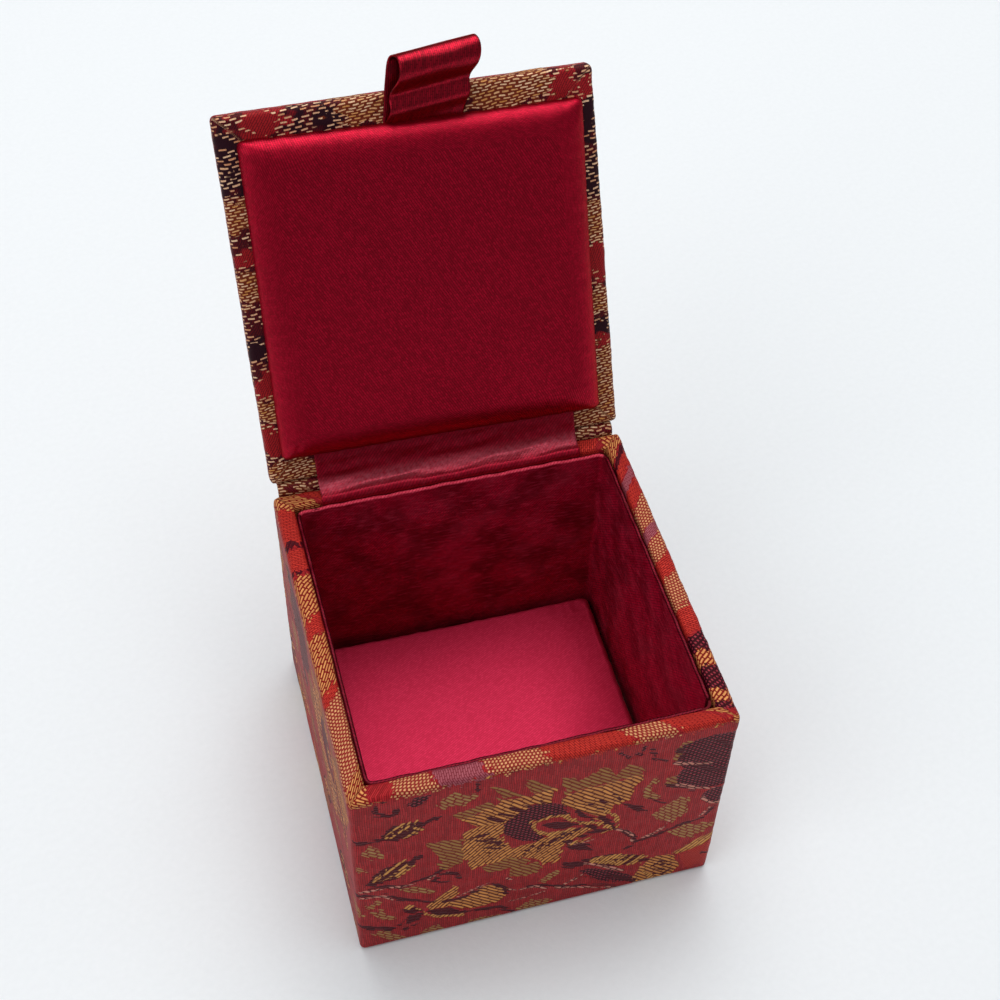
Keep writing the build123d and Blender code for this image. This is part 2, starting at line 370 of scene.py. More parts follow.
class Graph:
    """Adds nodes to one node tree and wires them, so that a finish reads like a sum."""

    def __init__(self, tree: bpy.types.NodeTree) -> None:
        """Keeps the tree that the nodes go into."""
        self.tree = tree

    def feed(self, socket: Socket, value: Value) -> None:
        """Links a socket to another one, or sets its own value.

        Args:
            socket: The socket to feed.
            value: The socket or the number to feed it.
        """
        if isinstance(value, Socket):
            self.tree.links.new(value, socket)
        elif isinstance(value, (int, float)):
            socket.default_value = value
        elif len(socket.default_value) == 4:
            socket.default_value = (*value, 1.0)
        else:
            socket.default_value = value

    def node(
        self, kind: str, inputs: dict[str | int, Value] | None = None, **settings: object
    ) -> bpy.types.Node:
        """Adds a node of a kind, sets its properties and feeds its inputs, by name or number.

        Args:
            kind: The node's type.
            inputs: What feeds it, by the input's name or number.
            **settings: The node's own properties.

        Returns:
            The node.
        """
        made = self.tree.nodes.new(kind)
        for name, value in settings.items():
            setattr(made, name, value)
        for place, value in (inputs or {}).items():
            self.feed(made.inputs[place], value)
        return made

    def math(self, operation: str, *values: Value) -> Socket:
        """A Math node's result for one, two or three values."""
        return self.node("ShaderNodeMath", dict(enumerate(values)), operation=operation).outputs[0]

    def times(self, first: Value, second: Value) -> Socket:
        """One value times another."""
        return self.math("MULTIPLY", first, second)

    def sum(self, first: Value, factor: Value, second: Value) -> Socket:
        """One value times a factor, plus another value."""
        return self.math("MULTIPLY_ADD", first, factor, second)

    def swing(self, value: Value) -> Socket:
        """Runs from -1 to 1 within each whole step of the value."""
        return self.sum(self.math("FRACT", value), 2.0, -1.0)

    def step(self, value: Value, low: Value, high: Value, first: float = 0.0, last: float = 1.0) -> Socket:
        """Goes smoothly from first, at low, to last, at high."""
        inputs = {"Value": value, "From Min": low, "From Max": high, "To Min": first, "To Max": last}
        return self.node("ShaderNodeMapRange", inputs, interpolation_type="SMOOTHSTEP").outputs["Result"]

    def scale(self, value: Value, low: float, high: float) -> Socket:
        """Carries a share from 0 to 1 to the range from low to high."""
        inputs = {"Value": value, "To Min": low, "To Max": high}
        return self.node("ShaderNodeMapRange", inputs).outputs["Result"]

    def mix(self, share: Value, first: Value, second: Value) -> Socket:
        """The first colour where share is 0 and the second where it is 1."""
        return self.node("ShaderNodeMix", {0: share, 6: first, 7: second}, data_type="RGBA").outputs[2]

    def mix_heights(self, share: Value, first: Value, second: Value) -> Socket:
        """The first number where share is 0 and the second where it is 1."""
        return self.node("ShaderNodeMix", {0: share, 2: first, 3: second}).outputs[0]

    def noise(self, place: Value, scale: Value, detail: float = 2.0) -> Socket:
        """Smooth noise from 0 to 1."""
        inputs = {"Vector": place, "Scale": scale, "Detail": detail}
        return self.node("ShaderNodeTexNoise", inputs).outputs[0]

    def bent(self, place: Value, scale: float, reach: float) -> Socket:
        """A place led astray by smooth noise, by up to the reach.

        Args:
            place: The place.
            scale: The noise's scale.
            reach: How far it is led astray.

        Returns:
            The new place.
        """
        astray = self.noise(place, scale, 1.0).node.outputs["Color"]
        inputs = {0: astray, 1: (reach, reach, reach), 2: place}
        return self.node("ShaderNodeVectorMath", inputs, operation="MULTIPLY_ADD").outputs[0]

    def stretched(self, place: Value, scale: tuple[float, float, float]) -> Socket:
        """A place with each of its coordinates multiplied by its own number."""
        return self.node("ShaderNodeMapping", {"Vector": place, "Scale": scale}).outputs[0]

    def split(self, value: Value) -> list[Socket]:
        """The three parts of a vector."""
        return list(self.node("ShaderNodeSeparateXYZ", {0: value}).outputs)

    def mark(self, name: str) -> list[Socket]:
        """The three values that a piece's mesh holds under a name."""
        return self.split(self.node("ShaderNodeAttribute", attribute_name=name).outputs["Vector"])

    def weave(self) -> Socket:
        """The place on the flat cloth, in millimetres."""
        return self.node("ShaderNodeUVMap", uv_map="weave").outputs[0]

    def place_mm(self) -> Socket:
        """The place in the object's own coordinates, in millimetres."""
        return self.stretched(self.node("ShaderNodeTexCoord").outputs["Object"], (1 / MM, 1 / MM, 1 / MM))

    def group(self, tree: bpy.types.NodeTree, **values: Value) -> Sockets:
        """Places a shared group with its own values and gives its outputs by name.

        Args:
            tree: The shared group.
            **values: What feeds its inputs, by name.

        Returns:
            Its outputs, by name.
        """
        made = self.node("ShaderNodeGroup", node_tree=tree)
        for name, value in values.items():
            self.feed(made.inputs[name.capitalize()], value)
        return {socket.name: socket for socket in made.outputs}


def shared_group(
    name: str, inputs: Sequence[str], outputs: Sequence[str]
) -> tuple[Graph, Sockets, bpy.types.Node]:
    """Starts a node group with named inputs and outputs.

    Args:
        name: The group's name.
        inputs: The inputs' names; the first one is a place and the others are numbers.
        outputs: The outputs' names, which are numbers.

    Returns:
        The group's graph, its inputs by name, and the node that takes its outputs.
    """
    tree = bpy.data.node_groups.new(name, "ShaderNodeTree")
    kinds = ["NodeSocketVector", *["NodeSocketFloat"] * (len(inputs) + len(outputs) - 1)]
    sides = ["INPUT"] * len(inputs) + ["OUTPUT"] * len(outputs)
    for label, side, kind in zip((*inputs, *outputs), sides, kinds):
        tree.interface.new_socket(label, in_out=side, socket_type=kind)
    graph = Graph(tree)
    given = {socket.name: socket for socket in graph.node("NodeGroupInput").outputs}
    return graph, given, graph.node("NodeGroupOutput")


def floats_group() -> bpy.types.NodeTree:
    """Rows of thread floats: short rounded dashes, row beside row, each row shifted on.

    The place is turned, its height divided by the pitch gives the row, and its length plus the
    row's shift, divided by the length, gives the dash. The shift grows by the stagger from row to
    row, plus the row's own random share of the looseness. Across a row the cover is 1 minus the
    square of twice the distance from its middle. Along a dash it falls off near both ends.

    Returns:
        The group.
    """
    soft = 0.35
    inputs = ("Place", "Turn", "Pitch", "Length", "Stagger", "Gap", "Loose")
    graph, given, result = shared_group("thread floats", inputs, ("Cover", "Tone", "Row"))
    turned = graph.node(
        "ShaderNodeVectorRotate", {"Vector": given["Place"], "Angle": given["Turn"]}, rotation_type="Z_AXIS"
    )
    along, over, _ = graph.split(turned.outputs[0])
    rows = graph.math("DIVIDE", over, given["Pitch"])
    row = graph.math("FLOOR", rows)
    thread = graph.node("ShaderNodeTexWhiteNoise", noise_dimensions="1D")
    graph.feed(thread.inputs["W"], row)
    shift = graph.sum(row, given["Stagger"], graph.times(thread.outputs["Value"], given["Loose"]))
    dashes = graph.math("ADD", graph.math("DIVIDE", along, given["Length"]), shift)
    across = graph.swing(rows)
    round_top = graph.math("SUBTRACT", 1.0, graph.times(across, across))
    end = graph.math("SUBTRACT", 1.0, graph.times(given["Gap"], 2.0))
    aside = graph.math("ABSOLUTE", graph.swing(dashes))
    fall = graph.step(aside, end, graph.math("ADD", end, soft), 1.0, 0.0)
    seed = graph.node("ShaderNodeCombineXYZ", {0: row, 1: graph.math("FLOOR", dashes)})
    random = graph.node("ShaderNodeTexWhiteNoise", noise_dimensions="2D")
    graph.feed(random.inputs["Vector"], seed.outputs[0])
    graph.feed(result.inputs["Cover"], graph.times(round_top, fall))
    graph.feed(result.inputs["Tone"], random.outputs["Value"])
    graph.feed(result.inputs["Row"], thread.outputs["Value"])
    return graph.tree


def wear_group() -> bpy.types.NodeTree:
    """Rubbed and faded areas: broad noise plus some fine noise, thresholded softly.

    Returns:
        The group.
    """
    fine_scale, fine_share, worn_from, worn_full = 2.3, 0.35, 0.6, 0.95
    graph, given, result = shared_group("cloth wear", ("Place", "Size", "Amount"), ("Wear",))
    broad = graph.noise(given["Place"], graph.math("DIVIDE", 1.0, given["Size"]), 3.0)
    both = graph.sum(graph.noise(given["Place"], fine_scale), fine_share, broad)
    graph.feed(result.inputs["Wear"], graph.times(graph.step(both, worn_from, worn_full), given["Amount"]))
    return graph.tree


@dataclass
class Kit:
    """The shader groups that several finishes share."""

    floats: bpy.types.NodeTree = field(default_factory=floats_group)
    wear: bpy.types.NodeTree = field(default_factory=wear_group)


@dataclass(frozen=True)
class Gloss:
    """The constant sockets of one shader.

    Attributes:
        rough: How far the highlights spread.
        specular: How strong they are, where 0.5 is usual.
        metal: The share that shines in the cloth's own colour, as bright silk does.
        tinge: The tint of the highlights.
        stretch: How far highlights are drawn out.
        swing: The way they are drawn out, in turns from across the cloth.
        coat: The share of a clear gloss over the colour, which gives pale highlights.
        coat_rough: How far that gloss's highlights spread.
    """

    rough: float = 0.6
    specular: float = 0.4
    metal: float = 0.0
    tinge: Colour = (1.0, 1.0, 1.0)
    stretch: float = 0.0
    swing: float = 0.25
    coat: float = 0.0
    coat_rough: float = 0.35

    def shader(self, graph: Graph) -> bpy.types.Node:
        """Adds the shader, with these values on its own sockets, and joins it to the output.

        Args:
            graph: The material's nodes.

        Returns:
            The shader.
        """
        made = graph.node("ShaderNodeBsdfPrincipled", {
            "Roughness": self.rough,
            "Specular IOR Level": self.specular,
            "Specular Tint": self.tinge,
            "Metallic": self.metal,
            "Coat Weight": self.coat,
            "Coat Roughness": self.coat_rough,
        })
        if self.stretch:
            graph.feed(made.inputs["Anisotropic"], self.stretch)
            graph.feed(made.inputs["Anisotropic Rotation"], self.swing)
            way = graph.node("ShaderNodeTangent", direction_type="UV_MAP", uv_map="weave")
            graph.feed(made.inputs["Tangent"], way.outputs[0])
        graph.node("ShaderNodeOutputMaterial", {"Surface": made.outputs[0]})
        return made


class Finish:
    """One material; a subclass says what its colour and its height are.

    Attributes:
        name: The material's name.
        relief: The height of its relief, in metres, and how strongly it shows.
        gloss: Its shader's constant values.
    """

    name: str
    relief: tuple[float, float]
    gloss: Gloss

    def surface(self, graph: Graph, kit: Kit) -> tuple[Socket, Socket]:
        """The surface's colour and its height from 0 to 1."""
        raise NotImplementedError

    def make(self, kit: Kit) -> bpy.types.Material:
        """Builds the material, whose normal follows the surface's height.

        Args:
            kit: The shared groups.

        Returns:
            The material.
        """
        made = bpy.data.materials.new(self.name)
        made.use_nodes = True
        made.node_tree.nodes.clear()
        graph = Graph(made.node_tree)
        shader = self.gloss.shader(graph)
        colour, height = self.surface(graph, kit)
        depth, strength = self.relief
        bump = graph.node("ShaderNodeBump", {"Strength": strength, "Distance": depth, "Height": height})
        graph.feed(shader.inputs["Base Color"], colour)
        graph.feed(shader.inputs["Normal"], bump.outputs[0])
        return made


# The brocade's pattern


class Layer(Enum):
    """What the cloth's weft does at a place; the value is the mark and the part that holds it."""

    GOLD_FALLING = ("figure", 0)
    GOLD_RISING = ("figure", 1)
    OLIVE = ("figure", 2)
    HATCH = ("ground", 0)
    PLUM = ("ground", 1)
    DARK = ("ground", 2)
    PINK = ("accent", 0)
    YELLOW = ("accent", 1)
    ORANGE_TWILL_AND_LIT_RIM = ("accent", 2)
    BEADS = ("turning", 0)
    DULL = ("turning", 1)
    TUFTS = ("turning", 2)


L = Layer
MARKS = ("figure", "ground", "accent", "turning")
FAR = -3.0  # the least inside value that a mark holds


@dataclass(frozen=True)
class Motif:
    """One drawn part of the pattern; a subclass says how far inside it a place lies."""

    layer: Layer
    points: tuple[tuple[float, float], ...]

    def inside(self, u: Array, v: Array) -> Array:
        """How far inside the part each place lies, in millimetres, negative outside."""
        raise NotImplementedError


def run_distance(u: Array, v: Array, start: Sequence[float], end: Sequence[float]) -> Array:
    """The distance of each place from a straight run: to the nearest point, clamped to its ends.

    Args:
        u: Place across the cloth.
        v: Place along it.
        start: One end of the run.
        end: Its other end.

    Returns:
        The distances, in millimetres.
    """
    run = np.array(end) - np.array(start)
    share = np.clip(((u - start[0]) * run[0] + (v - start[1]) * run[1]) / (run @ run), 0, 1)
    return np.hypot(u - start[0] - share * run[0], v - start[1] - share * run[1])


@dataclass(frozen=True)
class Patch(Motif):
    """A closed area with straight sides: the distance to its border, signed by a crossing count."""

    def inside(self, u: Array, v: Array) -> Array:
        """How far inside the area each place lies.

        Args:
            u: Place across the cloth.
            v: Place along it.

        Returns:
            The distance inside the border, below 0 outside it.
        """
        nearest = np.full(u.shape, np.inf)
        within = np.zeros(u.shape, bool)
        for start, end in zip(self.points, self.points[1:] + self.points[:1]):
            nearest = np.minimum(nearest, run_distance(u, v, start, end))
            rise = end[1] - start[1] or TINY
            crossing = start[0] + (v - start[1]) / rise * (end[0] - start[0])
            within ^= ((start[1] > v) != (end[1] > v)) & (u < crossing)
        return np.where(within, nearest, -nearest)


@dataclass(frozen=True)
class Stroke(Motif):
    """A line of even width: half the width less the distance from the line."""

    width: float

    def inside(self, u: Array, v: Array) -> Array:
        """How far inside the line each place lies."""
        runs = [run_distance(u, v, a, b) for a, b in zip(self.points[:-1], self.points[1:])]
        return self.width / 2 - np.minimum.reduce(runs)


@dataclass(frozen=True)
class Leaf(Motif):
    """An almond between two tips: its half width falls with the square of the way to a tip."""

    width: float

    def inside(self, u: Array, v: Array) -> Array:
        """How far inside the almond each place lies.

        Args:
            u: Place across the cloth.
            v: Place along it.

        Returns:
            The distance inside the border, below 0 outside it.
        """
        start, end = np.array(self.points[0]), np.array(self.points[-1])
        axis = end - start
        length = float(np.hypot(*axis))
        share = ((u - start[0]) * axis[0] + (v - start[1]) * axis[1]) / length**2
        aside = np.abs((u - start[0]) * axis[1] - (v - start[1]) * axis[0]) / length
        half = self.width / 2 * (1 - (2 * share - 1) ** 2)
        past = np.maximum(np.abs(2 * share - 1) - 1, 0) * length / 2
        return np.where(past > 0, -np.hypot(past, aside), half - aside)


def places(numbers: Sequence[float]) -> tuple[tuple[float, float], ...]:
    """The places that a flat row of numbers gives, u and v by turns."""
    return tuple(zip(numbers[::2], numbers[1::2]))


def patches(layer: Layer, *rows: Sequence[float]) -> list[Motif]:
    """Patches of a layer, each from a row of numbers."""
    return [Patch(layer, places(row)) for row in rows]


def strokes(layer: Layer, width: float, *rows: Sequence[float]) -> list[Motif]:
    """Strokes of a layer with one width, each from a row of numbers."""
    return [Stroke(layer, places(row), width) for row in rows]


def leaves(layer: Layer, *rows: Sequence[float]) -> list[Motif]:
    """Leaves of a layer, each from its width and the numbers of its two tips."""
    return [Leaf(layer, places(row[1:]), row[0]) for row in rows]


def moved(motifs: Sequence[Motif], across: float, along: float) -> list[Motif]:
    """The same motifs at another place on the cloth.

    Args:
        motifs: The motifs.
        across: How far they go across the cloth.
        along: How far they go along it.

    Returns:
        The moved motifs.
    """
    return [
        replace(motif, points=tuple((u + across, v + along) for u, v in motif.points)) for motif in motifs
    ]


def veined(*rows: Sequence[float]) -> list[Motif]:
    """Dark leaves whose gold veins slant forward from their midrib on both sides.

    Args:
        rows: Each leaf's width and the numbers of its two tips.

    Returns:
        The leaves and their veins.
    """
    first, last, spacing, lean, width = 0.14, 0.8, 1.1, 0.13, 0.5
    root_reach, tip_reach = 0.1, 0.85
    made = leaves(L.DARK, *rows)
    for full, *tips in rows:
        start, end = np.array(tips[:2]), np.array(tips[2:])
        run = end - start
        side = np.array([-run[1], run[0]]) / np.hypot(*run)
        for share in np.arange(first, last, spacing / np.hypot(*run)):
            half = side * full / 2 * (1 - (2 * share - 1) ** 2)
            for sign in (-1, 1):
                root = start + run * share + half * sign * root_reach
                tip = start + run * (share + lean) + half * sign * tip_reach
                made += strokes(L.YELLOW, width, (*root, *tip))
    return made


# The large gold flower with its dark heart, tongue, combed petals and olive fringe.
PEONY = (
    *patches(
        L.GOLD_RISING, (17, 31, 20, 31.8, 23.4, 31, 23.3, 26, 25.2, 22.6, 24, 20, 18.4, 19, 17, 24),
        (20, 20.5, 25, 22.8, 28, 22.6, 34, 24.8, 38.4, 23, 36, 21, 33.6, 20, 33.3, 14.9, 30.6, 14.4, 29.4,
         17, 25.4, 19.4, 21, 19),
    ),
    *patches(
        L.GOLD_FALLING,
        (16.8, 35, 21.3, 36.4, 23.6, 38.3, 27, 37.6, 31.6, 38, 31, 33.8, 27.4, 34.6, 23.4, 31, 20, 31.2),
        (32.2, 34.4, 34.5, 35.6, 45.9, 36.3, 45.2, 34, 44, 32.6, 43.9, 29.6, 41.4, 28.4, 39.6, 25, 35, 29.4,
         32.4, 32.6),
    ),
    *patches(
        L.OLIVE, (11, 30.4, 14, 30.2, 17.2, 29, 17.4, 21.2, 13.6, 21, 13.2, 25.6, 12, 27.6),
        (15.4, 37, 18, 37.7, 21.4, 36.4, 17.4, 34.7), (19, 38, 21.2, 38.6, 22.4, 36.2, 20, 35.8),
        (21, 42.4, 22.6, 42, 26.8, 37.9, 23, 38), (26, 42, 28, 42, 32.2, 37.6, 28, 37.8),
        (32.4, 40.2, 34.2, 39.8, 35.9, 36, 33.2, 35.4),
        (35.6, 38.4, 38.4, 41.2, 39.6, 40.6, 41.8, 36.2, 35, 35.8),
        (40.8, 38, 42.6, 40, 44.6, 38.4, 45.8, 36.2, 40.4, 36),
        (19.8, 18.6, 25, 20, 28.4, 17, 27, 15.8, 21.4, 16),
        (24.6, 15.8, 29.6, 16.4, 30.6, 13.4, 27.4, 12.2, 24.4, 13),
    ),
    *patches(
        L.PLUM,
        (22.8, 29.6, 24, 32.4, 27, 34.4, 30, 34.2, 32.8, 32, 33.8, 29.4, 28, 29.5, 28.4, 26.4, 30.6, 24.2,
         29.2, 22.9, 26.4, 23.8, 24.2, 26.6),
    ),
    *strokes(
        L.YELLOW, 0.9, (28.2, 29.2, 31, 29.6, 33.4, 29, 34, 27.6),
        (28.2, 29.2, 28.4, 27, 29.8, 25, 32, 24, 34.5, 24.4),
    ),
    *strokes(
        L.YELLOW, 0.8, (34, 27.6, 36, 25.6, 39, 24.2, 41.4, 21.6),
        (40.2, 27.2, 41.6, 25.4, 42.4, 23, 42.2, 21.4),
    ),
    *strokes(L.YELLOW, 0.6, (34.4, 19.4, 37, 19.6, 39.4, 20.6, 41.6, 21)),
    *leaves(L.DARK, (2.2, 30, 27.8, 35.4, 25.2), (1.5, 39, 26.4, 42, 21.2)),
    *strokes(L.DARK, 0.8, (33, 26.6, 36, 25.6, 38.4, 23.2)),
    *strokes(L.DARK, 0.7, (33.8, 20.4, 36, 20.8, 38.6, 21.8, 41.8, 21.2)),
    *strokes(
        L.DARK, 0.55, (21.2, 33.6, 23.2, 31.6), (23, 34.2, 24.8, 32.4), (24.6, 35.2, 26.2, 33.4),
        (26.4, 35.8, 27.8, 34), (28.4, 36, 29.6, 34.2), (18.4, 28.6, 21.2, 28.9), (19.4, 27.3, 22, 26.8),
        (20, 25.9, 22.6, 25.6), (20.2, 24, 23, 25), (21, 22.6, 23.6, 23.6), (26.6, 18.8, 28.2, 21.6),
        (29, 18.8, 30, 21.8), (30.8, 20.6, 32.2, 22.6), (31.6, 21.6, 33.6, 23.6), (33.2, 22, 36, 24),
        (35.2, 29.6, 36.6, 27.2), (36.2, 27.6, 38.2, 25.4), (37, 31, 39.4, 28), (38.8, 31.4, 40.4, 28.8),
        (41, 31.8, 42.8, 28.8),
    ),
)

# The almond leaves, stems, curls and small hatched patches between the flowers.
SPRIGS = (
    *patches(
        L.HATCH, (13, 41.8, 16, 43.4, 19.6, 41, 17.4, 39.2, 14, 39.4),
        (1, 31.6, 2.6, 33.8, 4.4, 31.6, 4.9, 28.7, 3, 29.4), (0, 28.2, 1, 28, 2.4, 25.9, 0.4, 26.4),
        (6.9, 17.9, 9.6, 17.7, 13.2, 13.9, 10, 14.7, 8, 16), (1, 14.2, 3.2, 16.1, 4.1, 14.8, 2, 13.1),
        (2, 12.3, 3.6, 12.4, 6.2, 8.1, 4, 8.8), (2, 5.1, 4.1, 5.1, 8.2, 0.4, 5, 1),
        (45.4, 31, 47.6, 34.7, 48.1, 33.5, 46.9, 30.9, 49.1, 28.5, 48.4, 27.5, 46, 29.4),
        (48, 22.5, 50.4, 25, 52.4, 26.4, 54.1, 25.6, 53.9, 21, 51.6, 18.6, 49.4, 20),
        (51.4, 15.3, 54, 16.9, 59.6, 15.1, 58.2, 13.4, 56, 11.8, 54, 13.4),
        (30, 10, 33, 11.7, 33.4, 10.6, 31, 8, 30, 9), (26.4, 1.4, 29, 3.6, 33.2, 1.9, 31, 0.4, 27, 0.2),
        (10, 1.6, 13, 2.9, 14.2, 0, 10.4, -0.6), (18, 1.6, 24, 1.3, 24, -1, 18, -1),
        (62, 14, 66, 18, 69, 15, 66, 11), (96, 12, 99, 15, 101, 12, 98, 10),
        (64, 45, 69, 49, 72, 45, 67, 42), (80, 50, 84, 54, 87, 51, 83, 48), (70, 5, 75, 8, 77, 4, 72, 1),
        (40, 48, 45, 51, 48, 48, 43, 45.5), (10, 49, 15, 52, 18, 49, 13, 46),
        (80, 12, 84, 15, 87, 13, 83, 10.5), (94, 3, 98, 6, 99, 2, 96, 0.5),
    ),
    *patches(L.PLUM, (8.4, 42.4, 9.6, 44.6, 12.4, 44.4, 11.4, 42.6, 9.4, 41.4)),
    *leaves(
        L.DARK, (1.2, 10, 36.2, 13.8, 37.7), (1.3, 8.4, 25.2, 10.9, 27.4), (1.5, 42.8, 28.9, 47.4, 23.6),
        (1.9, 33.8, 20.2, 38.6, 15.6),
    ),
    *leaves(L.GOLD_RISING, (5, 60, 4, 70, 1)),
    *veined(
        (4.8, 4.2, 34.6, 11.6, 36.6), (4.4, 1.8, 21.6, 9.6, 26), (5, 84, 5, 93, 10), (4.6, 88, 52, 96, 49),
        (4.6, 72, 9, 79.6, 13.6), (4.6, 22, 46, 30, 50), (4.6, 50, 47, 57, 51.6),
        (3.6, 36.6, 13.2, 49.4, 7.4),
    ),
    *strokes(L.PLUM, 0.8, (41.2, 43.8, 42.6, 42, 44.4, 42.4, 44.9, 44)),
    *strokes(
        L.DARK, 0.8, (4, 44.2, 4, 42, 6.2, 40.8, 7.2, 42.4), (46.2, 42.6, 46.9, 40.4, 48.8, 38.8),
        (12.4, 18, 13.4, 19.6, 15.6, 19, 16.6, 17), (13, 17, 14.6, 16.8),
    ),
    *strokes(L.DARK, 0.9, (0, 35.6, 1.8, 34.6, 4.4, 34.6)),
    *strokes(L.DARK, 0.7, (19.2, 45.4, 19.2, 42.4)),
    *strokes(L.DARK, 0.6, (47, 28.2, 49.8, 25.6)),
    *strokes(
        L.DARK, 0.75, (0, 20.4, 4.6, 20.1, 6.4, 19, 8, 18.4), (8.8, 19.2, 12, 19.6, 13.8, 21.1),
        (0, 18.6, 4.6, 17.4, 6.2, 15.3, 8.2, 13.6, 12, 10.8),
        (0, 8.3, 3, 6.5, 5, 5.1, 6.6, 5.8, 8, 7.5, 9.6, 8), (16, 5.2, 20, 4.6, 23.4, 3.6, 25.6, 1, 27, -1),
        (28, 8.3, 32, 7.1, 36, 4.9, 41, 2.5, 46, -0.6), (43, 20.3, 45.2, 17.6, 45.7, 15.4),
        (44.6, 13.6, 46, 15, 50, 15.9, 54, 17.4, 57.2, 17.8, 58.6, 20.6),
        (60, 17.6, 63, 18.4, 66, 16, 72, 14, 80, 17, 90, 14.6, 100, 18.6),
        (70, -2, 78, 1, 84, 0, 92, 4, 100, 8.3), (46, -0.6, 52, -4, 60, -4.4, 70, -2),
        (27, -1, 24, -4, 22, -8), (57, 51.6, 62, 53.4, 70, 51, 80, 53, 90, 50, 100, 52),
        (60, 44, 62, 47, 60, 51),
    ),
    *strokes(
        L.PINK, 0.45, (0, 19.8, 2.6, 19.5, 5.4, 19.2, 7.4, 18.5, 9.6, 18.6),
        (11.6, 18.8, 13.2, 20.2, 14.6, 19.8), (0, 17.8, 4.2, 16.9, 5.8, 14.8),
        (25, 9, 26.6, 8.1, 29, 7.8, 33, 5.6, 36, 4.4, 40, 2.2, 44.6, 0), (25, 4.8, 27.6, 4.7, 31, 5.3),
        (34.2, 6.1, 37.6, 8.1), (42, 21, 43.8, 19.7, 45, 17.8, 45.3, 15.6),
        (46.2, 15.6, 48.6, 16.3, 50.6, 17.7, 51.3, 19.4), (56.6, 18.6, 58, 20.8),
        (34.6, 19.4, 36.4, 18.7, 38.6, 19.2), (24.6, 12.8, 26, 12.3), (64, 17, 72, 13.4, 80, 16.4, 90, 14),
        (84, 0.6, 90, 3.6, 96, 5.6),
    ),
)

# The gold bud, the dotted leaf, the round gold bloom and the long gold leaf low on the cloth.
LOWER_BLOOMS = (
    *patches(
        L.GOLD_RISING,
        (10.8, 10, 13, 12.4, 15.4, 14.9, 16.8, 14, 16.2, 11.4, 14.4, 9.6, 15, 8.4, 11.4, 8.2),
    ),
    *patches(
        L.GOLD_FALLING,
        (14.4, 9.6, 18, 10, 20.6, 12.4, 23.8, 11.2, 24.6, 9, 23.8, 6, 20, 5, 16.4, 6.4, 14.2, 8.6),
        (46.6, -1, 46.8, 4, 48.4, 7.2, 50.4, 8.6, 53.4, 7, 54.9, 3.4, 53.4, 0, 52, -2),
    ),
    *patches(L.YELLOW, (52.8, 8, 56.8, 10.6, 60.4, 12.8, 60.4, 10, 56.6, 8, 54, 7.1)),
    *patches(L.ORANGE_TWILL_AND_LIT_RIM, (54.6, 6.9, 60.4, 9.8, 61, 2, 55.6, 1.4)),
    *patches(L.OLIVE, (57.4, 22.9, 60.4, 22.6, 61, 20.2)),
    *leaves(L.PLUM, (3.2, 36.6, 9.8, 47.4, 1.2)),
    *leaves(
        L.DARK, (2.6, 11.2, 8.2, 16.6, 5), (1.9, 6.8, 10.8, 10.3, 8.6), (2.4, 7.6, 5.4, 10.6, 8.4),
        (2, 33.2, 13.4, 38.6, 11),
    ),
    *strokes(L.DARK, 1.1, (22.8, 11.3, 24, 10, 24.4, 8)),
    *strokes(L.DARK, 0.8, (7.6, 4, 9.6, 4.8), (42, 5.4, 46.8, 1.2)),
    *strokes(L.DARK, 0.7, (14, 10, 17.4, 10, 20, 11.6, 21.8, 12.1)),
    *strokes(L.DARK, 0.6, (58.8, 5.8, 60.6, 5.2)),
    *strokes(
        L.DARK, 0.55, (49.6, 4.8, 51.6, 6.2), (50, 3.4, 52.4, 5.2), (50.6, 2, 53.4, 4.2),
        (51, 0.4, 53.6, 2.6),
    ),
    *strokes(L.YELLOW, 0.7, (7.9, 11.4, 10.4, 9, 11, 7.2, 13, 5.3, 17, 4)),
    *strokes(L.YELLOW, 0.6, (48.4, 3.6, 50, 1, 52, -0.6)),
    *strokes(L.PINK, 0.6, (37.4, 11.8, 39.4, 10.4, 42, 8, 44.6, 6)),
    *strokes(L.PINK, 0.5, (16.4, 10.8, 19, 12, 21.4, 12.9)),
)

# The dark flower with pink ribs, cut by the case's corner, and its small companion.
PLUM_FLOWER = (
    *patches(
        L.PLUM,
        (51.2, 42, 54.6, 43.2, 58.4, 42.6, 62, 43.4, 65.6, 41, 67.6, 37, 66.8, 33, 64, 29, 60.6, 27, 57,
         27.4, 54, 28.6, 51.2, 30.8, 50.8, 33.4, 52, 35.2, 50.6, 37.4),
        (56, 25.6, 58, 27.2, 61.4, 27, 63.6, 24.6, 62, 22, 57.6, 22.8),
    ),
    *patches(
        L.OLIVE, (50, 40.8, 51.4, 43, 53, 42.4, 51.4, 39.6, 51, 37.4, 50, 38),
        (49, 31.6, 50, 33.8, 52, 33, 52.4, 30.4, 50.6, 30),
    ),
    *strokes(L.DARK, 0.9, (49.8, 31, 52, 29.6, 54.6, 28)),
    *strokes(L.DARK, 0.8, (50.6, 41, 51.6, 39.4, 50.6, 37), (53.6, 35.6, 56, 33, 60, 31.6)),
    *strokes(L.DARK, 0.7, (57, 41, 60, 38, 64, 36.6), (66.8, 41, 68.4, 38, 68, 34)),
    *strokes(L.PINK, 0.7, (50.3, 37.4, 53, 36, 56.4, 34.8)),
    *strokes(L.PINK, 0.6, (51.4, 30.6, 54.8, 28.2, 58, 26.8), (56.2, 24.6, 57.8, 22.4, 60.4, 21.4)),
)


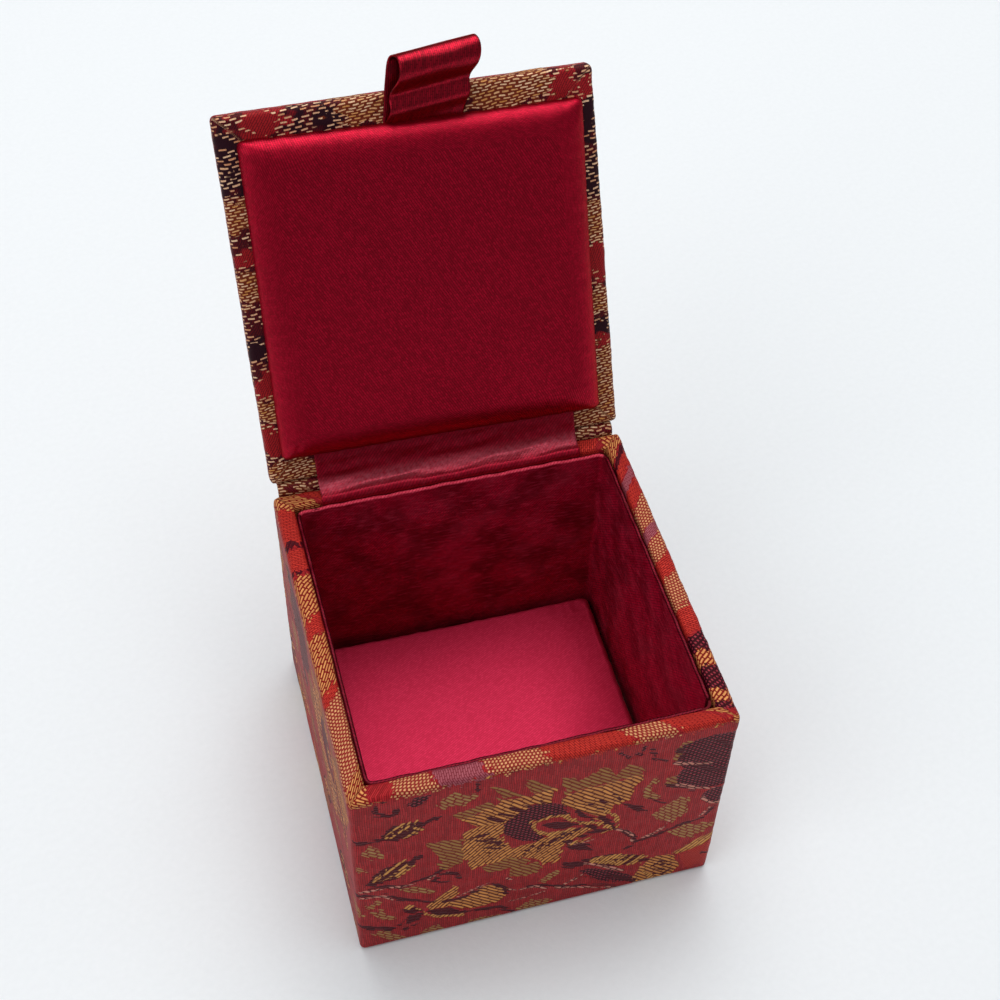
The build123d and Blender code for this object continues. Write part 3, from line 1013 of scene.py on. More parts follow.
@dataclass(frozen=True)
class Pattern:
    """The brocade's repeat, which gives each place on the flat cloth its layers.

    Attributes:
        repeat_u: The repeat across the cloth, in millimetres.
        repeat_v: The repeat along it.
        motifs: The parts that one repeat holds.
    """

    repeat_u: float = 100.0
    repeat_v: float = 56.0
    motifs: tuple[Motif, ...] = (*PEONY, *moved(PEONY, 53, 4), *SPRIGS, *LOWER_BLOOMS, *PLUM_FLOWER)

    def layers(self, u: Array, v: Array) -> dict[Layer, Array]:
        """How far inside each layer every place lies.

        Each place is brought to the repeat nearest to a motif's middle before it is measured,
        and a layer keeps the greatest of its motifs' values.

        Args:
            u: Place across the cloth.
            v: Place along the cloth.

        Returns:
            One array for each layer, in millimetres, no lower than FAR.
        """
        found = {layer: np.full(u.shape, FAR) for layer in Layer}
        for motif in self.motifs:
            corners = np.array(motif.points)
            middle = (corners.min(0) + corners.max(0)) / 2
            reach = (corners.max(0) - corners.min(0)) / 2 - FAR
            near_u = (u - middle[0] + self.repeat_u / 2) % self.repeat_u - self.repeat_u / 2
            near_v = (v - middle[1] + self.repeat_v / 2) % self.repeat_v - self.repeat_v / 2
            close = (np.abs(near_u) < reach[0]) & (np.abs(near_v) < reach[1])
            values = motif.inside(near_u[close] + middle[0], near_v[close] + middle[1])
            found[motif.layer][close] = np.maximum(found[motif.layer][close], values)
        return found


def marks_of(layers: dict[Layer, Array]) -> dict[str, Array]:
    """Packs the layers three by three into the marks that the finishes read.

    Args:
        layers: How far inside each layer the places lie.

    Returns:
        The marks, by name.
    """
    shape = next(iter(layers.values())).shape
    marks = {name: np.full((*shape, 3), FAR) for name in MARKS}
    for layer, values in layers.items():
        name, part = layer.value
        marks[name][..., part] = np.clip(values, FAR, -FAR)
    return marks


def relief_of(layers: dict[Layer, Array]) -> Array:
    """How much the figure's long floats and the hatched ones stand above the ground, in millimetres.

    Args:
        layers: How far inside each layer the places lie.

    Returns:
        The relief at each place.
    """
    long_rise, hatch_rise = 0.05, 0.02
    long = (L.GOLD_FALLING, L.GOLD_RISING, L.PLUM, L.YELLOW)
    raised = np.maximum.reduce([layers[layer] for layer in long])
    return long_rise * smooth(raised, -0.2, 0.4) + hatch_rise * smooth(layers[L.HATCH], -0.2, 0.3)


# Finishes


@dataclass(frozen=True)
class Threads:
    """A set of thread floats over the cloth.

    Attributes:
        turn: The way the threads run, as an angle from across the cloth.
        pitch: The distance from thread to thread, in millimetres.
        length: The distance from one float's start to the next one's.
        stagger: How far a thread's floats are shifted on from its neighbour's, in floats.
        gap: The share of that length which is open at each end of a float.
        loose: How far a thread's shift strays by chance, in floats.
    """

    turn: float
    pitch: float
    length: float
    stagger: float
    gap: float
    loose: float = 0.0

    def laid(self, graph: Graph, kit: Kit, place: Value) -> Sockets:
        """Places the shared group with these values: the floats' cover, tone and row.

        Args:
            graph: The material's nodes.
            kit: The shared groups.
            place: The place on the cloth.

        Returns:
            The group's outputs, by name.
        """
        return graph.group(
            kit.floats, Place=place, Turn=self.turn, Pitch=self.pitch, Length=self.length,
            Stagger=self.stagger, Gap=self.gap, Loose=self.loose,
        )


def shown(graph: Graph, floats: Sockets, start: float, full: float, least: float) -> Socket:
    """How much of its colour each float shows: its cover from start to full, times its own tone.

    Args:
        graph: The finish's graph.
        floats: The set of floats.
        start: The cover at which the colour begins to show.
        full: The cover at which it shows in full.
        least: The palest float's tone, where 1 is the strongest.

    Returns:
        The share, from 0 to 1.
    """
    return graph.times(graph.step(floats["Cover"], start, full), graph.scale(floats["Tone"], least, 1.0))


class Yarn(Enum):
    """The sets of threads that the brocade is woven of."""

    WARP = Threads(math.pi / 2, 0.34, 2.4, 0.37, 0.1, 0.15)
    FALLING = Threads(0.78, 0.7, 2.6, 0.37, 0.1, 0.15)
    RISING = Threads(-0.78, 0.7, 2.6, 0.37, 0.1, 0.15)
    HATCH = Threads(0.78, 0.62, 1.9, 0.4, 0.16, 0.3)
    TUFTS = Threads(0.55, 0.46, 1.7, 0.4, 0.14, 0.5)
    BEADS = Threads(0.12, 0.5, 0.62, 0.5, 0.3, 0.1)
    TWILL = Threads(1.1, 0.33, 1.1, 0.31, 0.14)
    RIBS = Threads(0.7, 0.6, 0.8, 0.5, 0.3)


@dataclass(frozen=True)
class Weft:
    """How one layer of the pattern looks where it lies over the ground.

    Attributes:
        layer: The layer.
        yarn: The set of threads that it is woven of.
        low: The colour between its threads.
        high: The colour on them.
        rise: How far its threads stand up, as a share of the cloth's relief.
        jitter: How far its border steps from thread to thread, in millimetres.
        thin: The cover at which a thread's colour begins to show.
        body: What the cloth between its threads stands up.
    """

    layer: Layer
    yarn: Yarn
    low: Colour
    high: Colour
    rise: float
    jitter: float
    thin: float = 0.25
    body: float = 0.1

    def laid(
        self, graph: Graph, mark: Value, floats: Sockets, colour: Value, height: Value
    ) -> tuple[Socket, Socket]:
        """Lays the layer over what is there, where its mark is above 0.

        Args:
            graph: The finish's graph.
            mark: How far inside the layer a place lies.
            floats: The layer's set of threads.
            colour: The cloth's colour so far.
            height: The cloth's height so far.

        Returns:
            The colour and the height with the layer.
        """
        blur, ridge, least = 0.06, 0.5, 0.7
        edge = graph.sum(floats["Row"], self.jitter, mark)
        edge = graph.sum(floats["Tone"], self.jitter, edge)
        mask = graph.step(edge, self.jitter - blur, self.jitter + blur)
        thread = graph.mix(shown(graph, floats, self.thin, self.thin + ridge, least), self.low, self.high)
        raised = graph.sum(floats["Cover"], self.rise, self.body)
        return graph.mix(mask, colour, thread), graph.mix_heights(mask, height, raised)


GOLD_LOW = tint(88, 14, 14)
DARK_HIGH = tint(58, 5, 22)
WEFTS = (  # in the order in which they are laid
    Weft(L.OLIVE, Yarn.FALLING, tint(112, 20, 22), tint(156, 116, 62), 0.6, 0.55, thin=0.36),
    Weft(L.HATCH, Yarn.HATCH, tint(124, 24, 26), tint(164, 128, 76), 0.6, 0.5, thin=0.3),
    Weft(L.PLUM, Yarn.RIBS, tint(46, 4, 18), tint(160, 54, 68), 0.6, 0.5, thin=0.55),
    Weft(L.GOLD_FALLING, Yarn.FALLING, GOLD_LOW, tint(218, 148, 80), 1.0, 0.5, thin=0.36),
    Weft(L.GOLD_RISING, Yarn.RISING, GOLD_LOW, tint(218, 148, 80), 1.0, 0.5, thin=0.36),
    Weft(L.DULL, Yarn.TWILL, tint(112, 34, 46), tint(158, 84, 94), 0.3, 0.7),
    # Orange twill: an accent in the pattern, and on the rim partly a painted highlight of the lit red
    # ground.
    Weft(L.ORANGE_TWILL_AND_LIT_RIM, Yarn.TWILL, tint(120, 14, 20), tint(196, 54, 44), 0.5, 0.7),
    Weft(L.BEADS, Yarn.BEADS, tint(140, 38, 36), tint(220, 160, 110), 0.9, 0.7),
    Weft(L.TUFTS, Yarn.TUFTS, tint(128, 22, 24), tint(218, 150, 88), 0.9, 0.7, thin=0.45),
    Weft(L.DARK, Yarn.TUFTS, tint(84, 8, 22), DARK_HIGH, 0.5, 0.5, thin=0.1),
    Weft(L.PINK, Yarn.HATCH, DARK_HIGH, tint(206, 138, 120), 0.8, 0.25),
    Weft(L.YELLOW, Yarn.RISING, GOLD_LOW, tint(212, 152, 82), 0.9, 0.4),
)


@dataclass(frozen=True)
class Brocade(Finish):
    """The patterned cloth: a crimson warp ground with gold, olive, plum and pink weft floats.

    Attributes:
        waver: The scale and the reach, in millimetres, of the noise that leads its threads astray.
    """

    name: str = "brocade"
    ground: Colour = tint(184, 42, 48)
    ground_low: Colour = tint(104, 12, 20)
    waver: tuple[float, float] = (0.16, 0.9)
    relief: tuple[float, float] = (0.00014, 0.85)
    gloss: Gloss = Gloss(rough=0.5, specular=0.2, metal=0.15, tinge=tint(255, 170, 150))

    def surface(self, graph: Graph, kit: Kit) -> tuple[Socket, Socket]:
        """The warp, clouded by broad noise, and each layer's floats laid over it.

        Args:
            graph: The material's graph.
            kit: The shared groups.

        Returns:
            The colour and the height.
        """
        cloud_scale, cloud_share, warp_rise = 0.22, 0.3, 0.35
        place = graph.bent(graph.weave(), *self.waver)
        floats = {yarn: yarn.value.laid(graph, kit, place) for yarn in Yarn}
        marks = {name: graph.mark(name) for name in MARKS}
        warp = floats[Yarn.WARP]
        cloud = graph.scale(graph.noise(place, cloud_scale, 3.0), 0.0, cloud_share)
        colour = graph.mix(shown(graph, warp, 0.05, 0.8, 0.45), self.ground_low, self.ground)
        colour = graph.mix(cloud, colour, self.ground_low)
        height = graph.times(warp["Cover"], warp_rise)
        for weft in WEFTS:
            name, part = weft.layer.value
            colour, height = weft.laid(graph, marks[name][part], floats[weft.yarn], colour, height)
        return colour, height


@dataclass(frozen=True)
class TurnedEdge(Finish):
    """The brocade turned in round the lid: pale gold dashes on maroon, with red and dark patches.

    Attributes:
        waver: The scale and the reach, in millimetres, of the noise that leads its threads astray.
        dashes: The pale floats that lie apart.
        close: The floats of the orange gold zones.
        twill: The ground's threads.
    """

    name: str = "brocade lid border"
    low: Colour = tint(84, 14, 24)
    black: Colour = tint(36, 12, 26)
    red: Colour = tint(160, 28, 36)
    dash: Colour = tint(240, 200, 162)
    dash_low: Colour = tint(206, 140, 100)
    brown: Colour = tint(112, 44, 26)
    orange: Colour = tint(206, 142, 74)
    waver: tuple[float, float] = (0.35, 0.9)
    relief: tuple[float, float] = (0.0001, 0.7)
    dashes: Threads = Threads(0.1, 0.58, 1.75, 0.47, 0.24, 0.25)
    close: Threads = Threads(0.1, 0.46, 1.5, 0.45, 0.2, 0.25)
    twill: Threads = Threads(1.0, 0.36, 1.0, 0.31, 0.12)
    gloss: Gloss = Gloss(rough=0.5, specular=0.2, metal=0.1, tinge=tint(255, 190, 160))

    def surface(self, graph: Graph, kit: Kit) -> tuple[Socket, Socket]:
        """Rows of dashes over a ground that changes from zone to zone.

        A dash is there where its own tone beats the greater of a broad noise and twice the mark
        of the bare and the red zones. A gold zone's border is ragged by its own floats' tones.

        Args:
            graph: The material's graph.
            kit: The shared groups.

        Returns:
            The colour and the height.
        """
        zone_edge, sparse, sparse_scale, tone_share, ragged_share = (-0.1, 0.2), 0.36, 0.35, 0.6, 0.4
        dash_rise, ground_rise = 0.8, 0.3
        place = graph.bent(graph.weave(), *self.waver)
        dashes, close, twill = (
            threads.laid(graph, kit, place) for threads in (self.dashes, self.close, self.twill)
        )
        red, gold, bare = graph.mark("border")
        black = graph.mark("border_dark")[0]
        ridge = graph.step(twill["Cover"], 0.1, 0.8)
        colour = graph.mix(ridge, self.black, self.low)
        colour = graph.mix(graph.step(black, *zone_edge), colour, self.black)
        colour = graph.mix(graph.step(red, *zone_edge), colour, graph.mix(ridge, self.low, self.red))
        without = graph.times(graph.math("MAXIMUM", bare, red), 2.0)
        without = graph.math("MAXIMUM", graph.noise(place, sparse_scale), without)
        present = graph.sum(dashes["Tone"], tone_share, graph.math("SUBTRACT", sparse, without))
        cover = graph.times(graph.step(dashes["Cover"], 0.66, 0.96), graph.step(present, 0.0, 0.05))
        colour = graph.mix(cover, colour, graph.mix(dashes["Row"], self.dash_low, self.dash))
        ragged = graph.step(graph.sum(close["Tone"], ragged_share, gold), 0.15, 0.25)
        golden = graph.times(graph.step(close["Cover"], 0.62, 0.96), ragged)
        colour = graph.mix(ragged, colour, self.brown)
        colour = graph.mix(golden, colour, graph.mix(close["Tone"], self.orange, self.dash))
        cover = graph.math("MAXIMUM", cover, golden)
        return colour, graph.sum(twill["Cover"], ground_rise, graph.times(cover, dash_rise))


@dataclass(frozen=True)
class Satin(Finish):
    """A glossy warp-faced satin, with a fine twill that shows near to.

    Attributes:
        pitch: The distance between the twill's lines, in millimetres.
        length: The length of its floats.
        turn: The way its lines run, as an angle from across the cloth.
        worn_and_sheen: The colour of areas of wear, and of the painted sheen streaks and the painted ridge
            highlight.
        wear: How strongly areas of wear show.
        wear_size: Their size, in millimetres.
        ridge: Where a painted highlight along a ridge starts and ends along the cloth, if it has one.
        sheen_streaks: How strongly fine pale streaks of painted sheen, drawn out across the cloth, show on
            it; they also stand for scuffed threads.
        cloudy: How strongly broad dark patches show on it.
    """

    name: str
    base: Colour
    low: Colour
    pitch: float = 0.44
    length: float = 0.6
    turn: float = 0.85
    worn_and_sheen: Colour = tint(196, 120, 130)
    wear: float = 0.0
    wear_size: float = 6.0
    ridge: tuple[float, float] | None = None
    sheen_streaks: float = 0.0
    cloudy: float = 0.0
    relief: tuple[float, float] = (0.00004, 0.35)
    gloss: Gloss = Gloss(
        rough=0.4, specular=0.5, metal=0.88, tinge=tint(255, 110, 145), stretch=0.7, swing=0.0, coat=0.1
    )

    def surface(self, graph: Graph, kit: Kit) -> tuple[Socket, Socket]:
        """Low colour between the floats and base on them, darkened by noise, clouded, streaked with painted
        sheen, and mixed with wear and a painted ridge highlight.

        Args:
            graph: The material's graph.
            kit: The shared groups.

        Returns:
            The colour and the height.
        """
        shade_scale, shade_share = 0.08, 0.25
        place = graph.weave()
        fine = Threads(self.turn, self.pitch, self.length, stagger=0.31, gap=0.12).laid(graph, kit, place)
        colour = graph.mix(shown(graph, fine, 0.0, 0.8, 0.5), self.low, self.base)
        shade = graph.scale(graph.noise(place, shade_scale), 0.0, shade_share)
        colour = graph.mix(shade, colour, self.low)
        if self.cloudy:
            cloud = graph.step(graph.noise(place, 0.13, 3.0), 0.42, 0.62)
            colour = graph.mix(graph.times(cloud, self.cloudy), colour, self.low)
        # Painted sheen: pale streaks drawn out across the cloth, where the satin catches the light, in the
        # colour of wear; they also stand for scuffed threads.
        if self.sheen_streaks:
            drawn = graph.stretched(place, (0.45, 2.6, 1.0))
            sheen_streak = graph.step(graph.noise(drawn, 1.0, 3.0), 0.46, 0.74)
            colour = graph.mix(graph.times(sheen_streak, self.sheen_streaks), colour, self.worn_and_sheen)
        if self.wear:
            wear_and_highlight = graph.group(kit.wear, Place=place, Size=self.wear_size, Amount=self.wear)["Wear"]
            # Painted highlight: a pale band along the ridge, where light catches the curve, joins the wear.
            if self.ridge:
                wear_and_highlight = graph.math("MAXIMUM", wear_and_highlight, self.ridge_highlight(graph, place, *self.ridge))
            colour = graph.mix(wear_and_highlight, colour, self.worn_and_sheen)
        return colour, fine["Cover"]

    def ridge_highlight(self, graph: Graph, place: Value, start: float, end: float) -> Socket:
        """A painted highlight along a ridge, in the colour of wear: it rises to the ridge's middle, falls
        again, and is broken by noise.

        Args:
            graph: The finish's graph.
            place: The place on the cloth.
            start: Where the ridge starts along the cloth.
            end: Where it ends.

        Returns:
            The share of that colour.
        """
        along = graph.split(place)[1]
        middle = (start + end) / 2
        band = graph.times(graph.step(along, start, middle), graph.step(along, end, middle))
        return graph.times(band, graph.scale(graph.noise(place, 1.4, 3.0), -0.1, 0.7))


@dataclass(frozen=True)
class Pulp(Finish):
    """Grey board, card, wadding or paper: fine fibre noise in one colour."""

    name: str
    base: Colour
    low: Colour
    grain: float = 2.5
    relief: tuple[float, float] = (0.0001, 0.5)
    gloss: Gloss = Gloss(rough=0.9, specular=0.2)

    def surface(self, graph: Graph, kit: Kit) -> tuple[Socket, Socket]:
        """Two noises, the coarser one eight times as large: their mean is the tone, the finer the tooth.

        Args:
            graph: The material's nodes.
            kit: The shared groups; not used.

        Returns:
            The colour and the height.
        """
        place = graph.place_mm()
        coarse = graph.noise(place, self.grain / 8, 4.0)
        fine = graph.noise(place, self.grain, 3.0)
        return graph.mix(graph.sum(fine, 0.5, graph.times(coarse, 0.5)), self.low, self.base), fine


@dataclass(frozen=True)
class PaleFloor(Finish):
    """What the box stands on: a plain pale sheet with a fine grain."""

    name: str = "pale floor"
    base: Colour = tint(238, 241, 243)
    low: Colour = tint(232, 235, 237)
    grain: float = 0.9
    relief: tuple[float, float] = (0.0003, 0.12)
    gloss: Gloss = Gloss(rough=0.9, specular=0.15)

    def surface(self, graph: Graph, kit: Kit) -> tuple[Socket, Socket]:
        """One noise, for the tone and for the tooth."""
        grain = graph.noise(graph.place_mm(), self.grain, 3.0)
        return graph.mix(grain, self.low, self.base), grain


FINISHES: dict[str, Finish] = {
    "brocade": Brocade(),
    "border": TurnedEdge(),
    "pad": Satin("pad satin", tint(192, 12, 48), tint(108, 2, 18), pitch=0.38, turn=-1.05),
    "floor": Satin(
        "floor satin", tint(220, 54, 90), tint(184, 28, 60), pitch=0.36, turn=-0.5,
        gloss=Gloss(rough=0.46, specular=0.7, metal=0.4, tinge=tint(255, 110, 140), stretch=0.85),
    ),
    # The wall satin's pale streaks are painted sheen, and they also stand for scuffed threads.
    "lining": Satin(
        "wall satin", tint(192, 17, 58), tint(96, 3, 21),
        wear=0.2, wear_size=7.0, worn_and_sheen=tint(214, 70, 98), sheen_streaks=0.4, cloudy=0.75,
        gloss=Gloss(rough=0.5, specular=0.4, metal=0.2, tinge=tint(255, 80, 110)),
    ),
    # Painted highlight: the pink satin on the top fold along the back wall, where light catches the fold.
    "fold": Satin(
        "wall satin painted highlight fold", tint(214, 70, 92), tint(150, 24, 44),
        gloss=Gloss(rough=0.45, specular=0.5, metal=0.2, tinge=tint(255, 120, 140)),
    ),
    # Painted shade: the dark satin on the top fold along the front and side walls, in the shade of the rim.
    "shaded_fold": Satin("wall satin painted shade fold", tint(112, 10, 30), tint(56, 2, 12)),
    # Painted highlight: the hinge strip's pale band along its ridge, at its bend.
    "hinge": Satin(
        "hinge satin", tint(158, 14, 38), tint(96, 3, 16),
        wear=0.05, wear_size=1.2, worn_and_sheen=tint(200, 104, 118), ridge=(5.0, 9.8),
        gloss=Gloss(rough=0.38, specular=0.6, metal=0.4, tinge=tint(255, 100, 130), stretch=0.7, swing=0.0),
    ),
    "ribbon": Satin(
        "ribbon satin", tint(172, 11, 38), tint(72, 1, 10), pitch=0.3, length=1.4, turn=0.1,
        gloss=Gloss(rough=0.29, specular=0.6, metal=0.95, tinge=tint(255, 100, 130), stretch=0.6, coat=0.14),
    ),
    "board": Pulp("grey board", tint(148, 140, 128), tint(116, 108, 98)),
    "card": Pulp("thin card", tint(196, 190, 176), tint(170, 162, 148)),
    "red_card": Pulp("wine card", tint(104, 14, 26), tint(80, 8, 18)),
    "paper": Pulp("base paper", tint(96, 20, 30), tint(72, 12, 20), grain=1.5),
    "ground": PaleFloor(),
}


def make_finishes() -> Finishes:
    """Makes every finish once, from the same shared groups, by name."""
    kit = Kit()
    return {name: finish.make(kit) for name, finish in FINISHES.items()}


# The box's own sizes


@dataclass(frozen=True)
class Hinge:
    """The lid's hinge line and how far the lid stands open."""

    y: float = 30.6
    z: float = 47.5
    angle: float = math.radians(115.5)

    def open(self, points: Array) -> Array:
        """Turns points of the shut lid about the hinge line to where the lid stands open.

        Args:
            points: (..., 3), the points.

        Returns:
            The turned points.
        """
        back, up = points[..., 1] - self.y, points[..., 2] - self.z
        made = points.copy()
        made[..., 1] = self.y + back * math.cos(self.angle) + up * math.sin(self.angle)
        made[..., 2] = self.z - back * math.sin(self.angle) + up * math.cos(self.angle)
        return made


@dataclass(frozen=True)
class Ring:
    """Columns of points round a rectangle with rounded corners.

    A column at offset d inside the outline lies at core times (half size - d - r) plus
    direction times r, where r is the corner's radius there.

    Attributes:
        core: (columns, 2), where the column stands on the square from -1 to 1.
        direction: (columns, 2), the way out of the ring.
        along: The distance along the outline.
    """

    core: Array
    direction: Array
    along: Array

    def at(self, half: tuple[float, float], inset: Array, radius: Array) -> Array:
        """The x and y of every column at each inset, as (insets, columns, 2)."""
        size = np.array(half) - inset[:, None] - radius[:, None]
        return self.core[None] * size[:, None] + self.direction[None] * radius[:, None, None]


def ring_columns(sides: Sequence[int], half: float, corner: float, step: float, start: float) -> Ring:
    """The ring's columns along some sides, with half of the corner arc at each end.

    Sides are numbered from the front, counterclockwise as seen from above: front, right, back,
    left. Between two sides the corner's arc has both halves.

    Args:
        sides: The sides in order, each next to the one before.
        half: Half the outline's size.
        corner: The corner's radius.
        step: The spacing of columns.
        start: The distance along the outline at the first side's beginning.

    Returns:
        The columns.
    """
    ways = np.array([(0, -1), (1, 0), (0, 1), (-1, 0)], float)
    cores, outs, along = [], [], []
    steps = 4  # columns on half a corner
    arc = np.linspace(0, 1, steps + 1)[1:] * math.pi / 4
    for turn, side in enumerate(sides):
        out, on, before = ways[side % 4], ways[(side + 1) % 4], ways[(side - 1) % 4]
        low = start + turn * 2 * half
        straight = half - corner
        count = math.ceil(2 * straight / step)
        place = np.linspace(-1, 1, count + 1)
        cores.append(np.repeat((out + before)[None], steps, 0))
        outs.append(np.cos(arc[::-1])[:, None] * out + np.sin(arc[::-1])[:, None] * before)
        along.append(low + corner - arc[::-1] * corner)
        cores.append(out + place[:, None] * on)
        outs.append(np.repeat(out[None], count + 1, 0))
        along.append(low + half + place * straight)
        cores.append(np.repeat((out + on)[None], steps, 0))
        outs.append(np.cos(arc)[:, None] * out + np.sin(arc)[:, None] * on)
        along.append(low + 2 * half - corner + arc * corner)
    core, out, way = (np.concatenate(part) for part in (cores, outs, along))
    change = np.abs(np.diff(core, axis=0)).sum(1) + np.abs(np.diff(out, axis=0)).sum(1)
    keep = np.concatenate([[True], change > TINY])
    return Ring(core[keep], out[keep], way[keep])


def rounded(place: Array, half: Array, radius: Array) -> Array:
    """Moves points of a sharp rectangle onto the same one with round corners.

    The part of a point beyond the rectangle that is smaller by the radius is drawn in to the
    radius's length.

    Args:
        place: (..., 2), points on or inside the sharp outline.
        half: (..., 2), half the rectangle's size at each point.
        radius: (...), the corner's radius at each point.

    Returns:
        The moved points.
    """
    core = np.clip(place, -(half - radius[..., None]), half - radius[..., None])
    beyond = place - core
    longest = np.maximum(np.abs(beyond).max(-1), TINY)
    length = np.maximum(np.linalg.norm(beyond, axis=-1), TINY)
    return core + beyond * (longest / length)[..., None]


@dataclass
class Wrap:
    """A square net wrapped over a flat body, seen as rings round its middle.

    The first rings cover the flat face, growing evenly, and each ring beyond them lies one point
    further along the section.

    Attributes:
        half: Half the body's size, as (x, y).
        face: The flat face's inset from the body's outline, and its level.
        section: (points, 2), the way on from the face's border, as (inset, level).
        step: The spacing of the rings on the face.
    """

    half: Array
    face: tuple[float, float]
    section: Array
    step: float

    def __post_init__(self) -> None:
        """Gives each point its ring, where that meets it, its inset, level and way past the face."""
        inner, top = self.face
        flat = math.ceil((self.half.max() - inner) / self.step)
        inset = np.concatenate([np.full(flat, inner), self.section[:, 0]])
        level = np.concatenate([np.full(flat, top), self.section[:, 1]])
        size = np.concatenate([np.arange(flat) / flat, np.ones(len(self.section))])
        steps = np.arange(1 - len(inset), len(inset))
        place = np.stack(np.meshgrid(steps, steps), -1)
        self.ring = np.abs(place).max(-1)
        self.where = place / np.maximum(self.ring, 1)[..., None]
        self.inset, self.level, self.size = inset[self.ring], level[self.ring], size[self.ring]
        self.turned = self.ring > flat
        self.beyond = lengths_along(self.section)[np.maximum(self.ring - flat, 0)] * self.turned
        self.reach = (self.half - self.inset[..., None]) * self.size[..., None]

    def plan(self, radius: Array) -> Array:
        """The x and y of every point, where its ring's corners have the radius given for it."""
        return rounded(self.where * self.reach, self.reach, radius)


# Sub-assemblies


@dataclass
class CaseCover:
    """The brocade round the case: up the walls, over the rim, down inside and under the bottom.

    Attributes:
        rim_from: Where the rim's own patches begin, as a place up the cloth.
        rim_middle: Where a patch has its own start and end.
        rim_lean: How far the patches lean along the rim for each step up the cloth.
        slack: The slow unevenness of the glued cloth.
        swell: The cloth's swelling along the fold onto the rim.
    """

    half: float = 30.0
    height: float = 46.4
    foot: float = 0.3
    rim: float = 3.0
    fold: float = 0.9
    lip: float = 0.7
    under: float = 0.5
    turn_in: float = 10.0
    turn_under: float = 7.0
    rim_from: float = 45.2
    rim_middle: float = 47.0
    rim_lean: float = 0.7
    slack: tuple[Wave, ...] = (Wave(0.05, 19.0, 1.0), Wave(0.025, 4.5, 2.0))
    swell: Wave = Wave(0.08, 3.6, 9.0)
    pattern: Pattern = Pattern()

    def profile(self) -> Array:
        """The section of the cloth, as (inset, height): bottom, wall, rim and inside.

        Returns:
            The section's points.
        """
        end = (self.rim, self.height - self.turn_in)
        return bent_path(
            [(self.turn_under, self.foot), (0, self.foot), (0, self.height), (self.rim, self.height), end],
            [self.under, self.fold, self.lip],
            [1.5, 0.34, 0.25, 1.4],
        )

    def net(self, sides: Sequence[int], start: float, step: float) -> Net:
        """The cloth on some sides of the case.

        A point is the ring's point at its inset, moved out by the weave's relief and by a slow
        unevenness of the glued cloth.

        Args:
            sides: The sides, numbered from the front.
            start: The place on the cloth where the first side begins.
            step: The spacing of columns.

        Returns:
            The net, whose marks are the pattern's layers.
        """
        least_corner, probe = 0.2, 1.0
        foot_rise, swell_rise, swell_fall = (0.5, 6.0), (44.5, 46.5), (48.4, 49.2)
        profile = self.profile()
        ring = ring_columns(sides, self.half, self.fold, step, start)
        inset, height = profile[:, 0], profile[:, 1]
        plan = ring.at((self.half, self.half), inset, np.maximum(self.fold - inset, least_corner))
        columns = len(ring.along)
        points = np.concatenate([plan, down(height, columns)[..., None]], -1)
        way = lengths_along(profile)
        foot = way[np.argmin(np.abs(height - probe) + inset * 10)] - probe
        u = np.broadcast_to(ring.along, plan.shape[:2])
        v = down(way - foot, columns)
        layers = self.pattern.layers(u, v)
        self.dress_rim(layers, u, v)
        uneven = sum(wave.at(u, v) for wave in self.slack)
        uneven += self.swell.above(u, v) * smooth(v, *swell_rise) * (1 - smooth(v, *swell_fall))
        lift = relief_of(layers) + uneven * smooth(v, *foot_rise)
        points = points - normals_of(points) * lift[..., None]
        return Net(points, np.stack([u, v], -1), marks_of(layers), flip=True)

    def dress_rim(self, layers: dict[Layer, Array], u: Array, v: Array) -> None:
        """Gives the rim its own patches, which differ from the pattern below the fold.
        Its orange twill is partly a painted highlight: the red ground drawn lighter and more orange where
        the rim faces the light.

        Args:
            layers: The layers, changed in place.
            u: Place along the outline.
            v: Place up the wall and over the rim.
        """
        edge = v - self.rim_from + Wave(0.45, 2.2, 4.0).at(u, v)
        leaning = u + self.rim_lean * (v - self.rim_middle)
        for layer in Layer:
            layers[layer] = np.where(edge > 0, np.maximum(FAR, -edge), layers[layer])
        for layer, ends in RIM_PATCHES.items():
            for start, end in places(ends):
                run = np.minimum(leaning - start, end - leaning) + Wave(0.5, 1.3, start).at(u, v)
                layers[layer] = np.maximum(layers[layer], np.minimum(run, edge))

    def build(self, finishes: Finishes) -> list[bpy.types.Object]:
        """Makes the cloth in two pieces, which meet at the back corners.

        Args:
            finishes: The box's finishes.

        Returns:
            The piece on the left, front and right, and the piece on the back.
        """
        side = 2 * self.half
        front = make_piece("case_cloth", [self.net((-1, 0, 1), -side, 0.34)], [finishes["brocade"]])
        back = make_piece("case_cloth_back", [self.net((2,), 2 * side, 0.5)], [finishes["brocade"]])
        for piece, width, board in ((front, 3 * side, "front_board"), (back, side, "back_board")):
            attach(piece, "case")
        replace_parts(front, "case_brocade")
        return [front, back]


# Where each layer's patches start and end along the rim. The orange twill runs are partly a
# painted highlight: the red ground drawn lighter and more orange where the rim faces the light.
RIM_PATCHES: dict[Layer, tuple[float, ...]] = {
    L.TUFTS: (
        -64, -57, -43, -34, -30.4, -20, -3.2, 2.4, 58.2, 60.4, 63, 65.4, 70, 72.8, 116.6, 123, 176, 184,
    ),
    L.BEADS: (-18, -3, 6.2, 12.6, 20.8, 30.2, 43.2, 49.8, 82, 88.4, 92.6, 97, 99.6, 105.2),
    L.ORANGE_TWILL_AND_LIT_RIM: (
        -57, -49, -48.4, -43.6, -34.4, -30, -20.2, -17.4, 29.6, 43.4, 50, 57.4, 76.8, 82.2, 87.6, 93,
        105, 109, 112, 115, 124, 175,
    ),
    L.DARK: (-50, -48.8, -43.9, -43, 115, 116.8),
    L.DULL: (12.8, 20.6, 96.8, 99.8, 109, 112),
    L.PLUM: (61.6, 76.4),
}


